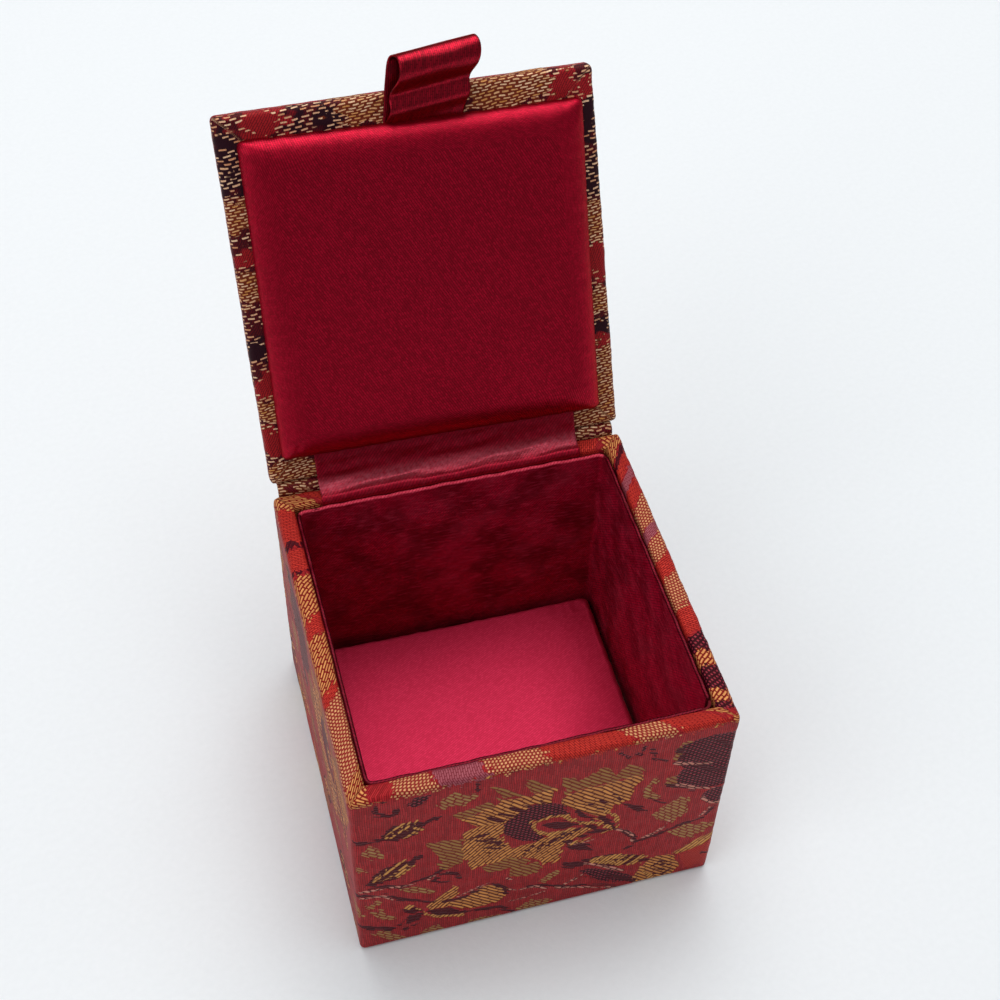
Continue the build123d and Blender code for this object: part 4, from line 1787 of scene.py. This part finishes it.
@dataclass
class LidCover:
    """The brocade over the lid: outer face, edges, and a border turned in on the inner face.

    Attributes:
        inner: How far from the outline the cloth is one flat sheet.
        cloth_at: The place on the cloth at the middle of the lid's back edge.
        slack: The unevenness of the glued cloth.
        nap: The fine unevenness of its turned edge.
    """

    half_x: float = 29.9
    low: float = 47.3
    thick: float = 3.0
    front: float = -30.4
    back: float = 30.0
    fold: float = 0.9
    border: float = 8.0
    inner: float = 1.4
    step: float = 0.42
    cloth_at: tuple[float, float] = (30.0, 50.0)
    slack: tuple[Wave, ...] = (Wave(0.05, 17.0, 5.0), Wave(0.03, 4.0, 6.0))
    nap: Wave = Wave(0.03, 1.6, 7.0)
    pattern: Pattern = Pattern()
    hinge: Hinge = Hinge()

    def build(self, finishes: Finishes) -> bpy.types.Object:
        """Makes the cloth as one square net wrapped over the board.

        The net's middle rings cover the outer face, and each ring beyond lies one step further
        along the section: over the edge, down the side, round, and in along the inner face.

        Args:
            finishes: The box's finishes.

        Returns:
            The lid's cloth.
        """
        top, least_corner = self.low + self.thick, 0.15
        section = bent_path(
            [(self.inner, top), (0, top), (0, self.low), (self.border, self.low)],
            [self.fold, self.fold],
            [0.25, 0.3, 0.36],
        )
        half = np.array([self.half_x, (self.back - self.front) / 2])
        wrap = Wrap(half, (self.inner, top), section, self.step)
        plan = wrap.plan(np.maximum(self.fold - wrap.inset, least_corner) * wrap.size)
        middle = (self.back + self.front) / 2
        x, y = plan[..., 0], plan[..., 1] + middle
        points = np.stack([x, y, wrap.level], -1)
        aside = wrap.turned & (np.abs(wrap.where[..., 0]) >= np.abs(wrap.where[..., 1]))
        ahead = wrap.turned & ~aside
        over = wrap.where * (half - self.inner + wrap.beyond[..., None])
        u = self.cloth_at[0] + np.where(aside, over[..., 0], x)
        v = self.cloth_at[1] + self.back - middle - np.where(ahead, over[..., 1], y - middle)
        layers = self.pattern.layers(u, v)
        marks = marks_of(layers)
        marks.update(self.border_marks(x, self.back - y))
        outer = wrap.level > self.low + self.fold
        uneven = sum(wave.at(x, y) for wave in self.slack)
        lift = np.where(outer, relief_of(layers), self.nap.at(x, y)) + uneven
        normal = normals_of(points)
        centre = len(normal) // 2
        sign = 1 if normal[centre, centre, 2] > 0 else -1
        points = points + normal * (sign * lift)[..., None]
        inward = ~(outer[:-1, :-1] & outer[1:, 1:])
        weave = np.stack([u, v], -1)
        net = Net(self.hinge.open(points), weave, marks, flip=sign > 0, finish=inward.astype(int))
        piece = make_piece("lid_cloth", [net], [finishes["brocade"], finishes["border"]])
        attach(piece, "lid")
        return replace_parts(piece, "lid_brocade")

    def border_marks(self, x: Array, along: Array) -> dict[str, Array]:
        """The border's zones: how deep each place lies in a red, gold, bare or black one.

        A zone is an ellipse, whose value is 1 less the distance from its middle in its own
        half sizes, made uneven by a ripple.

        Args:
            x: Place across the lid.
            along: Place along it from the hinge edge.

        Returns:
            The two marks, with three values at each point.
        """
        uneven = Wave(0.35, 3.4, 2.0).at(x, along)
        found = {kind: np.full(x.shape, -1.0) for kind in Zone}
        for kind, ellipses in BORDER_ZONES.items():
            for across, up, half_x, half_up in ellipses:
                value = 1 - np.hypot((x - across) / half_x, (along - up) / half_up) + uneven
                found[kind] = np.maximum(found[kind], value)
        return {
            "border": np.stack([found[Zone.RED], found[Zone.GOLD], found[Zone.BARE]], -1),
            "border_dark": np.stack([found[Zone.BLACK]] * 3, -1),
        }


class Zone(Enum):
    """What the turned edge shows at a place."""

    RED = "fine red twill"
    GOLD = "close orange gold floats"
    BARE = "no pale floats"
    BLACK = "blue black ground"


# Each zone's ellipses: the middle, across the lid and along it from the hinge, and the half sizes.
BORDER_ZONES: dict[Zone, tuple[tuple[float, float, float, float], ...]] = {
    Zone.RED: (
        (-22.5, 59, 4.4, 3.2), (24.5, 58, 3, 3), (-28, 38.2, 3, 1.4), (-28, 17, 3, 2.4), (-28.6, 8, 2, 3),
        (28.8, 57, 1.6, 2), (28.4, 28.6, 3, 4.4), (28.4, 14, 3, 2.2),
    ),
    Zone.GOLD: (
        (-7, 58.6, 4.4, 2.4), (16, 58.4, 7.4, 3.4), (-28, 45.4, 3, 2.6), (-28, 33.6, 3, 2.8),
        (-28, 13, 3, 2.2), (-26, 1.8, 4.6, 2.2), (28.4, 36, 3, 3.4), (28.4, 22, 3, 2.6), (28, 6, 4, 7.4),
        (24, 1.4, 4, 2.4),
    ),
    Zone.BARE: (
        (-28, 49, 3, 1.2), (-28, 38.2, 3, 1.8), (-28, 23.4, 3, 1.6), (-28, 17, 3, 2.2), (-28, 7.4, 3.4, 3.4),
        (28, 53, 3, 2.6), (28.4, 28.8, 3, 3.8), (28.4, 16, 3, 3.4),
    ),
    Zone.BLACK: (
        (-18, 59, 2.4, 3.4), (-12, 58, 3, 2), (-28, 53, 3, 6), (-28, 23.4, 3, 2), (28.4, 54, 2.6, 6),
        (28, 42, 2.4, 4), (28.4, 25, 3, 1.2), (28.4, 17.6, 3, 1.8),
    ),
}


@dataclass(frozen=True)
class Cushion:
    """A satin cushion: crowned, with edges that fall off softly, and sides drawn in between its corners.

    Attributes:
        crown: How much higher its middle is than its edge.
        edge: How far in from the outline the top falls off.
        base: The height of its upright sides.
        draw_in: How far the middle of each side is drawn in.
        lip: How far its cloth is turned in under it.
    """

    width: float
    depth: float
    height: float
    crown: float
    corner: float = 1.6
    edge: float = 4.0
    base: float = 0.7
    draw_in: float = 0.35
    lip: float = 0.5
    step: float = 0.42

    def section(self) -> Array:
        """The way from the top's border down to the edge and in under it, as (inset, level).

        Returns:
            The section's points.
        """
        turn = np.linspace(0, math.pi / 2, 26)
        drop = self.height - self.base
        fall = np.stack([self.edge * (1 - np.sin(turn)), self.base + drop * np.cos(turn)], -1)
        under = bent_path([(0, self.base), (0, 0), (self.lip, 0)], [0.3], [0.3, 0.3])
        return np.concatenate([fall, under[1:]])

    def nets(self, seed: float) -> list[Net]:
        """The cushion standing on z = 0, as a wrapped net and a closing net for its back.

        Ring by ring the cloth covers the top, falls off to the edge on a quarter of an ellipse,
        and turns in under the back. The top rises by the crown times (1 - x^2)(1 - y^2), to the
        power 0.8. The sides are pinched in along their length, with a shallow pucker every few
        millimetres.

        Args:
            seed: Any number; it sets where the puckers fall.

        Returns:
            The two nets, whose borders coincide.
        """
        pinched, flat_sides, dome, square = 6, 8, 0.8, 8
        half = np.array([self.width / 2, self.depth / 2])
        wrap = Wrap(half, (self.edge, self.height), self.section(), self.step)
        ring, where, level = wrap.ring, wrap.where, wrap.level
        radius = (self.corner + wrap.inset * 0.5) * wrap.size
        plan = wrap.plan(radius)
        share = plan / half
        pinch = self.draw_in * (1 - share[..., ::-1] ** 2) * np.abs(share) ** pinched * np.sign(share)
        aside = np.where(np.abs(where[..., 0]) > np.abs(where[..., 1]), plan[..., 1], plan[..., 0])
        pucker = Wave(0.06, 3.1, seed).at(aside, where[..., 0] * 7 + where[..., 1] * 11)
        rolled = smooth(np.linalg.norm(share, ord=square, axis=-1), 0.82, 0.97)[..., None]
        plan = plan - pinch - np.sign(plan) * np.abs(where) ** flat_sides * (pucker[..., None] * rolled)
        rise = np.clip(1 - share**2, 0, 1).prod(-1) ** dome
        soft = Wave(0.05, 23.0, seed + 1).at(plan[..., 0], plan[..., 1])
        z = level + self.crown * rise + soft * smooth(level, 0.5, self.height)
        edging = Wave(0.05, 2.3, seed + 2).at(aside, ring * 0.0)
        z += edging * rolled[..., 0] * smooth(level, 1.0, self.height)
        points = np.concatenate([plan, z[..., None]], -1)
        weave = plan + where * wrap.beyond[..., None]
        inward = (ring / ring.max())[..., None]
        corner = wrap.reach[0, 0]
        sharp = np.broadcast_to(corner, where.shape)
        rim = rounded(where * corner, sharp, np.full(ring.shape, radius[0, 0]))
        back = np.concatenate([rim * inward, np.zeros((*ring.shape, 1))], -1)
        outer = ring == ring.max()
        back[outer] = points[outer]
        return [Net(points, weave, flip=True), Net(back, where * inward * half)]


@dataclass
class LidPad:
    """The cushion glued inside the lid, a little askew.

    Attributes:
        shut_width: The share of its width left when the walls squeeze it in the shut box.
    """

    form: Cushion = Cushion(54.2, 52.1, 3.3, 0.9, corner=1.1, edge=4.6, draw_in=0.12)
    middle: float = -0.075
    level: float = 47.3
    skew: float = math.radians(1.0)
    shut_width: float = 0.965
    hinge: Hinge = Hinge()

    def build(self, finishes: Finishes) -> bpy.types.Object:
        """Turns the cushion crown down under the shut lid, and then opens it with the lid.

        Args:
            finishes: The box's finishes.

        Returns:
            The cushion.
        """
        nets = self.form.nets(2.0)
        for net in nets:
            x, y, z = np.moveaxis(net.points, -1, 0)
            turned_x = x * math.cos(self.skew) + y * math.sin(self.skew)
            turned_y = x * math.sin(self.skew) - y * math.cos(self.skew)
            net.points = self.hinge.open(np.stack([turned_x, turned_y + self.middle, self.level - z], -1))
            net.weave = np.stack([net.weave[..., 0], -net.weave[..., 1]], -1)
        piece = make_piece("lid_pad", nets, [finishes["pad"]], weld=0.01)
        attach(piece, "lid")
        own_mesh(piece)
        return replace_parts(piece, "pad_satin", "pad_foam")


@dataclass
class FloorPad:
    """The cushion on the bottom of the case."""

    form: Cushion = Cushion(51.9, 51.75, 4.9, 0.5, corner=0.8, edge=1.8)
    middle: float = -0.075
    level: float = 2.95

    def build(self, finishes: Finishes) -> bpy.types.Object:
        """Stands the cushion on the bottom board.

        Args:
            finishes: The box's finishes.

        Returns:
            The cushion.
        """
        nets = self.form.nets(6.0)
        for net in nets:
            net.points = net.points + np.array([0, self.middle, self.level])
        piece = make_piece("floor_pad", nets, [finishes["floor"]], weld=0.01)
        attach(piece, "case")
        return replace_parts(piece, "floor_satin", "floor_foam")


@dataclass
class WallLining:
    """The folded strip of satin on card round the inside of the walls."""

    half_x: float = 26.9
    half_y: float = 26.825
    middle: float = -0.075
    floor: float = 2.95
    top: float = 45.5
    thick: float = 0.7
    corner: float = 1.6
    turn: float = 5.0
    slit: float = -25.3
    gap: float = 0.4
    slack: tuple[Wave, ...] = (Wave(0.12, 21.0, 3.0), Wave(0.05, 5.0, 4.0))
    crest: Wave = Wave(0.14, 7.0, 5.0)

    def build(self, finishes: Finishes) -> bpy.types.Object:
        """Makes the satin from one end at the front right corner, round to the other.

        The section goes up the back of the card, over its top edge on two arcs, and down its
        face to the floor. The face moves in by a slow unevenness, which nearly stops below the
        top edge and near the floor.

        Args:
            finishes: The box's finishes.

        Returns:
            The lining's satin.
        """
        section = bent_path(
            [(0, self.top - self.turn), (0, self.top), (self.thick, self.top), (self.thick, self.floor)],
            [0.3, 0.3],
            [0.9, 0.2, 0.45],
        )
        ring = self.open_ring()
        columns = len(ring.along)
        plan = ring.at((self.half_x, self.half_y), section[:, 0], self.corner - section[:, 0])
        plan[..., 1] += self.middle
        depth, height = down(section[:, 0], columns), down(section[:, 1], columns)
        u = np.broadcast_to(ring.along, plan.shape[:2])
        points = np.concatenate([plan, height[..., None]], -1)
        uneven = sum(wave.above(u, height) for wave in self.slack)
        inward = -np.concatenate([ring.direction, np.zeros((columns, 1))], -1)[None]
        calm = smooth(height, 3.0, 9.0) * (1 - 0.9 * smooth(height, 38.0, 42.0))
        points = points + inward * (uneven * smooth(depth, 0.3, 0.7) * calm)[..., None]
        weave = np.stack([u, -down(lengths_along(section), columns)], -1)
        # The top fold is painted light and shade: the back wall's fold takes the painted highlight satin,
        # and the other walls' folds take the painted shade satin.
        behind = ring.direction[:, 1] > 0.7
        folded = (height > self.top - 0.2) * np.where(behind, 1, 2)
        points[..., 2] += self.crest.at(u, u * 0.0) * smooth(height, self.top - 1.2, self.top - 0.2)
        nets = [Net(points, weave, flip=False, finish=folded[:-1, :-1]), *self.ends(ring)]
        satins = [finishes[name] for name in ("lining", "fold", "shaded_fold")]
        piece = make_piece("wall_lining", nets, satins)
        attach(piece, "case")
        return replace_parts(piece, "lining_satin")

    def open_ring(self) -> Ring:
        """The columns once round the walls, from one side of the slit to its other side.

        Returns:
            The columns that are left beside the slit.
        """
        ring = ring_columns((1, 2, 3, 4, 5), self.half_x, self.corner, 0.45, 0.0)
        start = (self.slit + self.gap - self.middle) / (self.half_y - self.corner)
        end = (self.slit - self.middle) / (self.half_y - self.corner)
        early, late, on_wall = 60, 200, 0.999
        first = (ring.along < early) & (ring.core[:, 1] < start)
        last = (ring.along > late) & (ring.core[:, 0] > on_wall) & (ring.core[:, 1] > end)
        keep = ~(first | last)
        return Ring(ring.core[keep], ring.direction[keep], ring.along[keep])

    def ends(self, ring: Ring) -> list[Net]:
        """The satin folded round the card's two ends, which face each other across the slit.

        Args:
            ring: The columns of the lining.

        Returns:
            A net for each end.
        """
        inset, height = np.linspace(0, self.thick, 4), np.linspace(self.floor, self.top - 0.35, 40)
        made = []
        for column, flip in ((0, True), (-1, False)):
            one = Ring(ring.core[[column]], ring.direction[[column]], ring.along[[column]])
            plan = one.at((self.half_x, self.half_y), inset, self.corner - inset)[:, 0]
            points = np.concatenate([
                np.broadcast_to(plan[None] + np.array([0, self.middle]), (len(height), len(inset), 2)),
                np.broadcast_to(height[:, None, None], (len(height), len(inset), 1)),
            ], -1)
            weave = np.stack(np.broadcast_arrays(inset[None] + ring.along[column], height[:, None]), -1)
            made.append(Net(points, weave, flip=flip))
        return made


@dataclass
class ClothHinge:
    """The hinge: brocade outside, from back wall to lid, and a satin strip inside.

    Attributes:
        wall: The middle of the brocade on the back wall, as a y.
        foot: Where that brocade begins, as a height.
        top: Where it leaves the wall.
        tail_flat: How long the brocade on the wall is when laid flat, in metres.
        fold_flat: How long the free fold is when laid flat, in metres, with its glued ends.
        cloth_step: The spacing of its points across.
        strip_step: The spacing of the strip's points across.
        cloth_at: The place across the cloth at the box's middle.
        slack: The unevenness of the glued cloth.
        folds: The strip's wrinkles, the broad ones and the fine ones.
    """

    cloth_half: float = 28.9
    cloth_thick: float = 0.35
    strip_half: float = 22.2
    strip_thick: float = 0.15
    wall: float = 30.175
    foot: float = 0.8
    top: float = 45.5
    tail_flat: float = 0.0447
    fold_flat: float = 0.01
    cloth_step: float = 0.42
    strip_step: float = 0.35
    cloth_at: float = 30.0
    slack: Wave = Wave(0.04, 15.0, 20.0)
    folds: tuple[Wave, Wave] = (Wave(0.12, 13.0, 2.0), Wave(0.06, 2.2, 5.0))
    pattern: Pattern = Pattern()

    def across(self, path: Array, half: float, step: float) -> tuple[Array, Array, Array]:
        """Carries a path in (y, z) across the box.

        Args:
            path: The path.
            half: Half the strip's width.
            step: The spacing across.

        Returns:
            The points, the distance across, and the distance along the path.
        """
        x = np.linspace(-half, half, math.ceil(2 * half / step) + 1)
        across = np.broadcast_to(x, (len(path), len(x)))
        y, z, along = (down(part, len(x)) for part in (path[:, 0], path[:, 1], lengths_along(path)))
        return np.stack([across, y, z], -1), across, along

    def build(self, finishes: Finishes) -> list[bpy.types.Object]:
        """Makes the sheet on the back wall, the free fold, and the satin strip.

        Args:
            finishes: The box's finishes.

        Returns:
            The three pieces.
        """
        back_path = np.array([(self.wall, z) for z in np.linspace(self.foot, self.top, 120)])
        back = self.cloth(back_path, "back_cloth", self.foot, finishes)
        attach(back, "case")
        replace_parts(back, "back_brocade")
        corners = [(self.wall, self.top), (self.wall, 48.18), (32.5, 47.07)]
        fold_path = bent_path(corners, [1.2], [0.25, 0.25])
        fold = self.cloth(fold_path, "hinge_cloth", self.top, finishes)
        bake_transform(fold)
        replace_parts(fold, "hinge_brocade")
        return [back, fold, self.strip(finishes)]

    def cloth(self, path: Array, name: str, start: float, finishes: Finishes) -> bpy.types.Object:
        """A sheet of brocade carried along a path.

        Args:
            path: The sheet's middle, as (y, z).
            name: The piece's name.
            start: The place on the cloth where the path begins.
            finishes: The box's finishes.

        Returns:
            The piece, with its thickness.
        """
        points, across, along = self.across(path, self.cloth_half, self.cloth_step)
        u, v = across + self.cloth_at, along + start
        layers = self.pattern.layers(u, v)
        lift = relief_of(layers) + self.slack.at(u, v)
        points = points + np.array([0, 1.0, 0]) * (lift * smooth(along, 0, 2.0))[..., None]
        net = Net(points, np.stack([u, v], -1), marks_of(layers), flip=True)
        nets = net.thickened(self.cloth_thick)
        nets[1].finish = 1
        return make_piece(name, nets, [finishes["brocade"], finishes["border"]], weld=SEAM)

    def strip(self, finishes: Finishes) -> bpy.types.Object:
        """The satin strip: from under the pad, down the lid, over the rim, behind the lining.

        Args:
            finishes: The box's finishes.

        Returns:
            The strip.
        """
        corners = [(33.05, 53.28), (29.807, 46.475), (26.925, 46.475), (26.925, 37.4)]
        path = bent_path(corners, [3.005, 0.775], [0.3, 0.3, 0.6])
        points, across, along = self.across(path, self.strip_half, self.strip_step)
        broad, fine = self.folds
        wrinkle = broad.above(across, along * 3.0) + fine.above(across * 0.3, along)
        middle = smooth(along, 1.0, 3.0) * (1 - smooth(along, 9.0, 11.0))
        points = points - normals_of(points) * (wrinkle * middle)[..., None]
        net = Net(points, np.stack([across, along], -1), flip=False)
        piece = make_piece("hinge_strip", net.thickened(self.strip_thick), [finishes["hinge"]], weld=SEAM)
        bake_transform(piece)
        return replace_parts(piece, "hinge_lining")


# The ribbon's section from one end under the cushion, out round its loop, and back to the other
# end: how far beyond the lid's front edge, and how far out from the lid's inner face.
RIBBON_LEADS = (
    (-13.4, 0.14), (-9, 0.14), (-4, 0.14), (0, 0.16), (2.5, 0.3), (4.4, 0.5), (5.7, 1.1), (6, 2.6),
    (4.8, 3.9), (3, 4.1), (1.6, 3.3), (0.5, 1.9), (-0.7, 1.3), (-1.9, 2), (-3.2, 1.8), (-4.6, 0.5),
    (-7, 0.42), (-10, 0.42), (-13.4, 0.42),
)


@dataclass
class RibbonLoop:
    """The ribbon folded in two that sticks out past the lid's front edge as a pull.

    Attributes:
        middle: The middle of its width on the lid's edge, as an x.
        lean: How far it leans aside for each step beyond the edge.
        tilt: How far its far side stands out further, for each step across.
        askew: How far the loop's upper layers lie aside for each step out from the lid.
        shut_share: The share of its height left when the lid is shut on it.
        slack: Its limpness beyond the edge.
    """

    thick: float = 0.25
    width: float = 12.7
    middle: float = 2.9
    lean: float = math.tan(math.radians(9.0))
    tilt: float = math.tan(math.radians(6.5))
    askew: float = 0.42
    lid_front: float = -30.4
    lid_low: float = 47.3
    shut_share: float = 0.34
    slack: Wave = Wave(0.12, 9.0, 2.0)
    hinge: Hinge = Hinge()

    def build(self, finishes: Finishes) -> bpy.types.Object:
        """Carries the loop's section across its width, leaning and tilted as the CAD's is.

        Args:
            finishes: The box's finishes.

        Returns:
            The ribbon.
        """
        per_run, columns = 9, 49
        path = limp_path(RIBBON_LEADS, per_run)
        length = lengths_along(path)
        beyond, out, along = (down(part, columns) for part in (path[:, 0], path[:, 1], length))
        slant = math.hypot(self.lean, 1)
        across = np.broadcast_to(np.linspace(0, 1, columns), beyond.shape) * self.width
        x = self.middle - self.width / 2 + self.lean / slant * beyond + across + self.askew * out
        y = self.lid_front - beyond / slant - self.tilt * across
        z = self.lid_low - out - self.slack.at(across, along) * smooth(beyond, 0.5, 3.0)
        points = self.hinge.open(np.stack([x, y, z], -1))
        net = Net(points, np.stack([along, across], -1), flip=False)
        piece = make_piece("ribbon_pull", net.thickened(self.thick), [finishes["ribbon"]], weld=SEAM)
        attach(piece, "lid")
        edge = [0, self.lid_front, self.lid_low]
        face = self.hinge.open(np.array([edge, [0, self.lid_front, self.lid_low - 1]]))
        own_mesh(piece)
        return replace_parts(piece, "ribbon_tab")


# The CAD nodes that stay, by their finish.
BOARDS: dict[str, tuple[str, ...]] = {
    "board": ("front_board", "back_board", "left_board", "right_board", "bottom_board", "lid_board"),
    "card": ("floor_card", "pad_card"),
    "red_card": ("lining_card",),
    "paper": ("base_sheet",),
}


def dress_boards(nodes: dict[str, bpy.types.Object], finishes: Finishes) -> int:
    """Puts its finish on each board, card and sheet, and gives how many were dressed.

    Args:
        nodes: The CAD's nodes, by name.
        finishes: The box's finishes.

    Returns:
        How many were dressed.
    """
    for finish, names in BOARDS.items():
        for name in names:
            materials = nodes[name].data.materials
            materials.clear()
            materials.append(finishes[finish])
    return sum(len(names) for names in BOARDS.values())


# Floor, light and camera


@dataclass(frozen=True)
class Lamp:
    """A square lamp that faces the box, whose place and size are in metres."""

    name: str
    place: tuple[float, float, float]
    size: float
    power: float
    colour: Colour

    def hang(self, aim: tuple[float, float, float]) -> None:
        """Adds the lamp, looking at the aim.

        Args:
            aim: The place that it looks at, in metres.
        """
        data = bpy.data.lights.new(self.name, "AREA")
        data.shape = "SQUARE"
        data.size = self.size
        data.energy = self.power
        data.color = self.colour
        made = bpy.data.objects.new(self.name, data)
        bpy.context.scene.collection.objects.link(made)
        spot = Vector(self.place)
        facing = (Vector(aim) - spot).to_track_quat("-Z", "Y")
        made.matrix_world = Matrix.Translation(spot) @ facing.to_matrix().to_4x4()


@dataclass
class Studio:
    """A pale floor, soft light from above, and the camera where the picture was taken.

    Attributes:
        place: The camera's place, in millimetres.
        turn: The turn from the box's axes to the camera's, as axis times angle.
        lens: The focal length for the sensor's width, both in millimetres.
        near: The nearest that the camera sees, in metres.
        surround: How bright the surround is.
        aim: What the lamps face, in metres.
        floor_half: Half the floor's size, in millimetres.
        floor_drop: How far it lies below the box, in millimetres.
    """

    place: tuple[float, float, float] = (-45.242, -149.403, 254.056)
    turn: tuple[float, float, float] = (2.42066626, -0.316047282, 0.147701555)
    lens: float = 59.487
    sensor: float = 36.0
    near: float = 0.01
    surround: float = 0.37
    aim: tuple[float, float, float] = (0, 0, 0.03)
    floor_half: float = 3000.0
    floor_drop: float = 0.02
    lamps: tuple[Lamp, ...] = (
        Lamp("softbox", (0.15, 0.35, 1.25), 1.3, 11.2, (0.99, 0.995, 1.0)),
        Lamp("overhead", (0.08, 0.3, 0.85), 0.4, 1.2, (1.0, 0.99, 0.97)),
        Lamp("front", (-0.95, -0.4, 0.9), 0.9, 4.3, (1.0, 1.0, 1.0)),
    )

    def camera(self) -> None:
        """Adds the camera, looking along its own -Z, and makes it the scene's."""
        data = bpy.data.cameras.new("camera")
        data.lens = self.lens
        data.sensor_width = self.sensor
        data.clip_start = self.near
        made = bpy.data.objects.new("camera", data)
        bpy.context.scene.collection.objects.link(made)
        axis = Vector(self.turn)
        seen = Matrix.Rotation(axis.length, 3, axis.normalized()).transposed()
        facing = seen @ Matrix.Diagonal((1.0, -1.0, -1.0))
        made.matrix_world = Matrix.Translation(Vector(self.place) * MM) @ facing.to_4x4()
        bpy.context.scene.camera = made

    def floor(self, finishes: Finishes) -> None:
        """Adds the floor, a plain sheet well past the view.

        Args:
            finishes: The box's finishes.
        """
        corner = np.linspace(-self.floor_half, self.floor_half, 3)
        x, y = np.meshgrid(corner, corner)
        net = Net(np.stack([x, y, np.full(x.shape, -self.floor_drop)], -1), np.stack([x, y], -1))
        make_piece("floor", [net], [finishes["ground"]])

    def world(self) -> None:
        """Sets an even pale surround."""
        world = bpy.data.worlds.new("surround")
        world.use_nodes = True
        back = world.node_tree.nodes["Background"]
        back.inputs[0].default_value = (*tint(246, 249, 252), 1.0)
        back.inputs[1].default_value = self.surround
        bpy.context.scene.world = world

    def build(self, finishes: Finishes) -> None:
        """Sets everything that isn't the box.

        Args:
            finishes: The box's finishes.
        """
        bpy.context.scene.view_settings.view_transform = "Standard"
        self.floor(finishes)
        self.world()
        for lamp in self.lamps:
            lamp.hang(self.aim)
        self.camera()


def main() -> None:
    """Loads the frame, builds the box's pieces in order and sets the scene."""
    logging.basicConfig(level=logging.INFO, format="%(name)s: %(message)s")
    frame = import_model()
    finishes = make_finishes()
    LOG.info("dressed %d boards, cards and sheets", dress_boards(frame["nodes"], finishes))
    for part in (CaseCover(), LidCover(), LidPad(), FloorPad(), WallLining(), ClothHinge(), RibbonLoop()):
        made = part.build(finishes)
        for piece in made if isinstance(made, list) else [made]:
            LOG.info("made %s with %d faces", piece.name, len(piece.data.polygons))
    Studio().build(finishes)


if __name__ == "__main__":
    main()
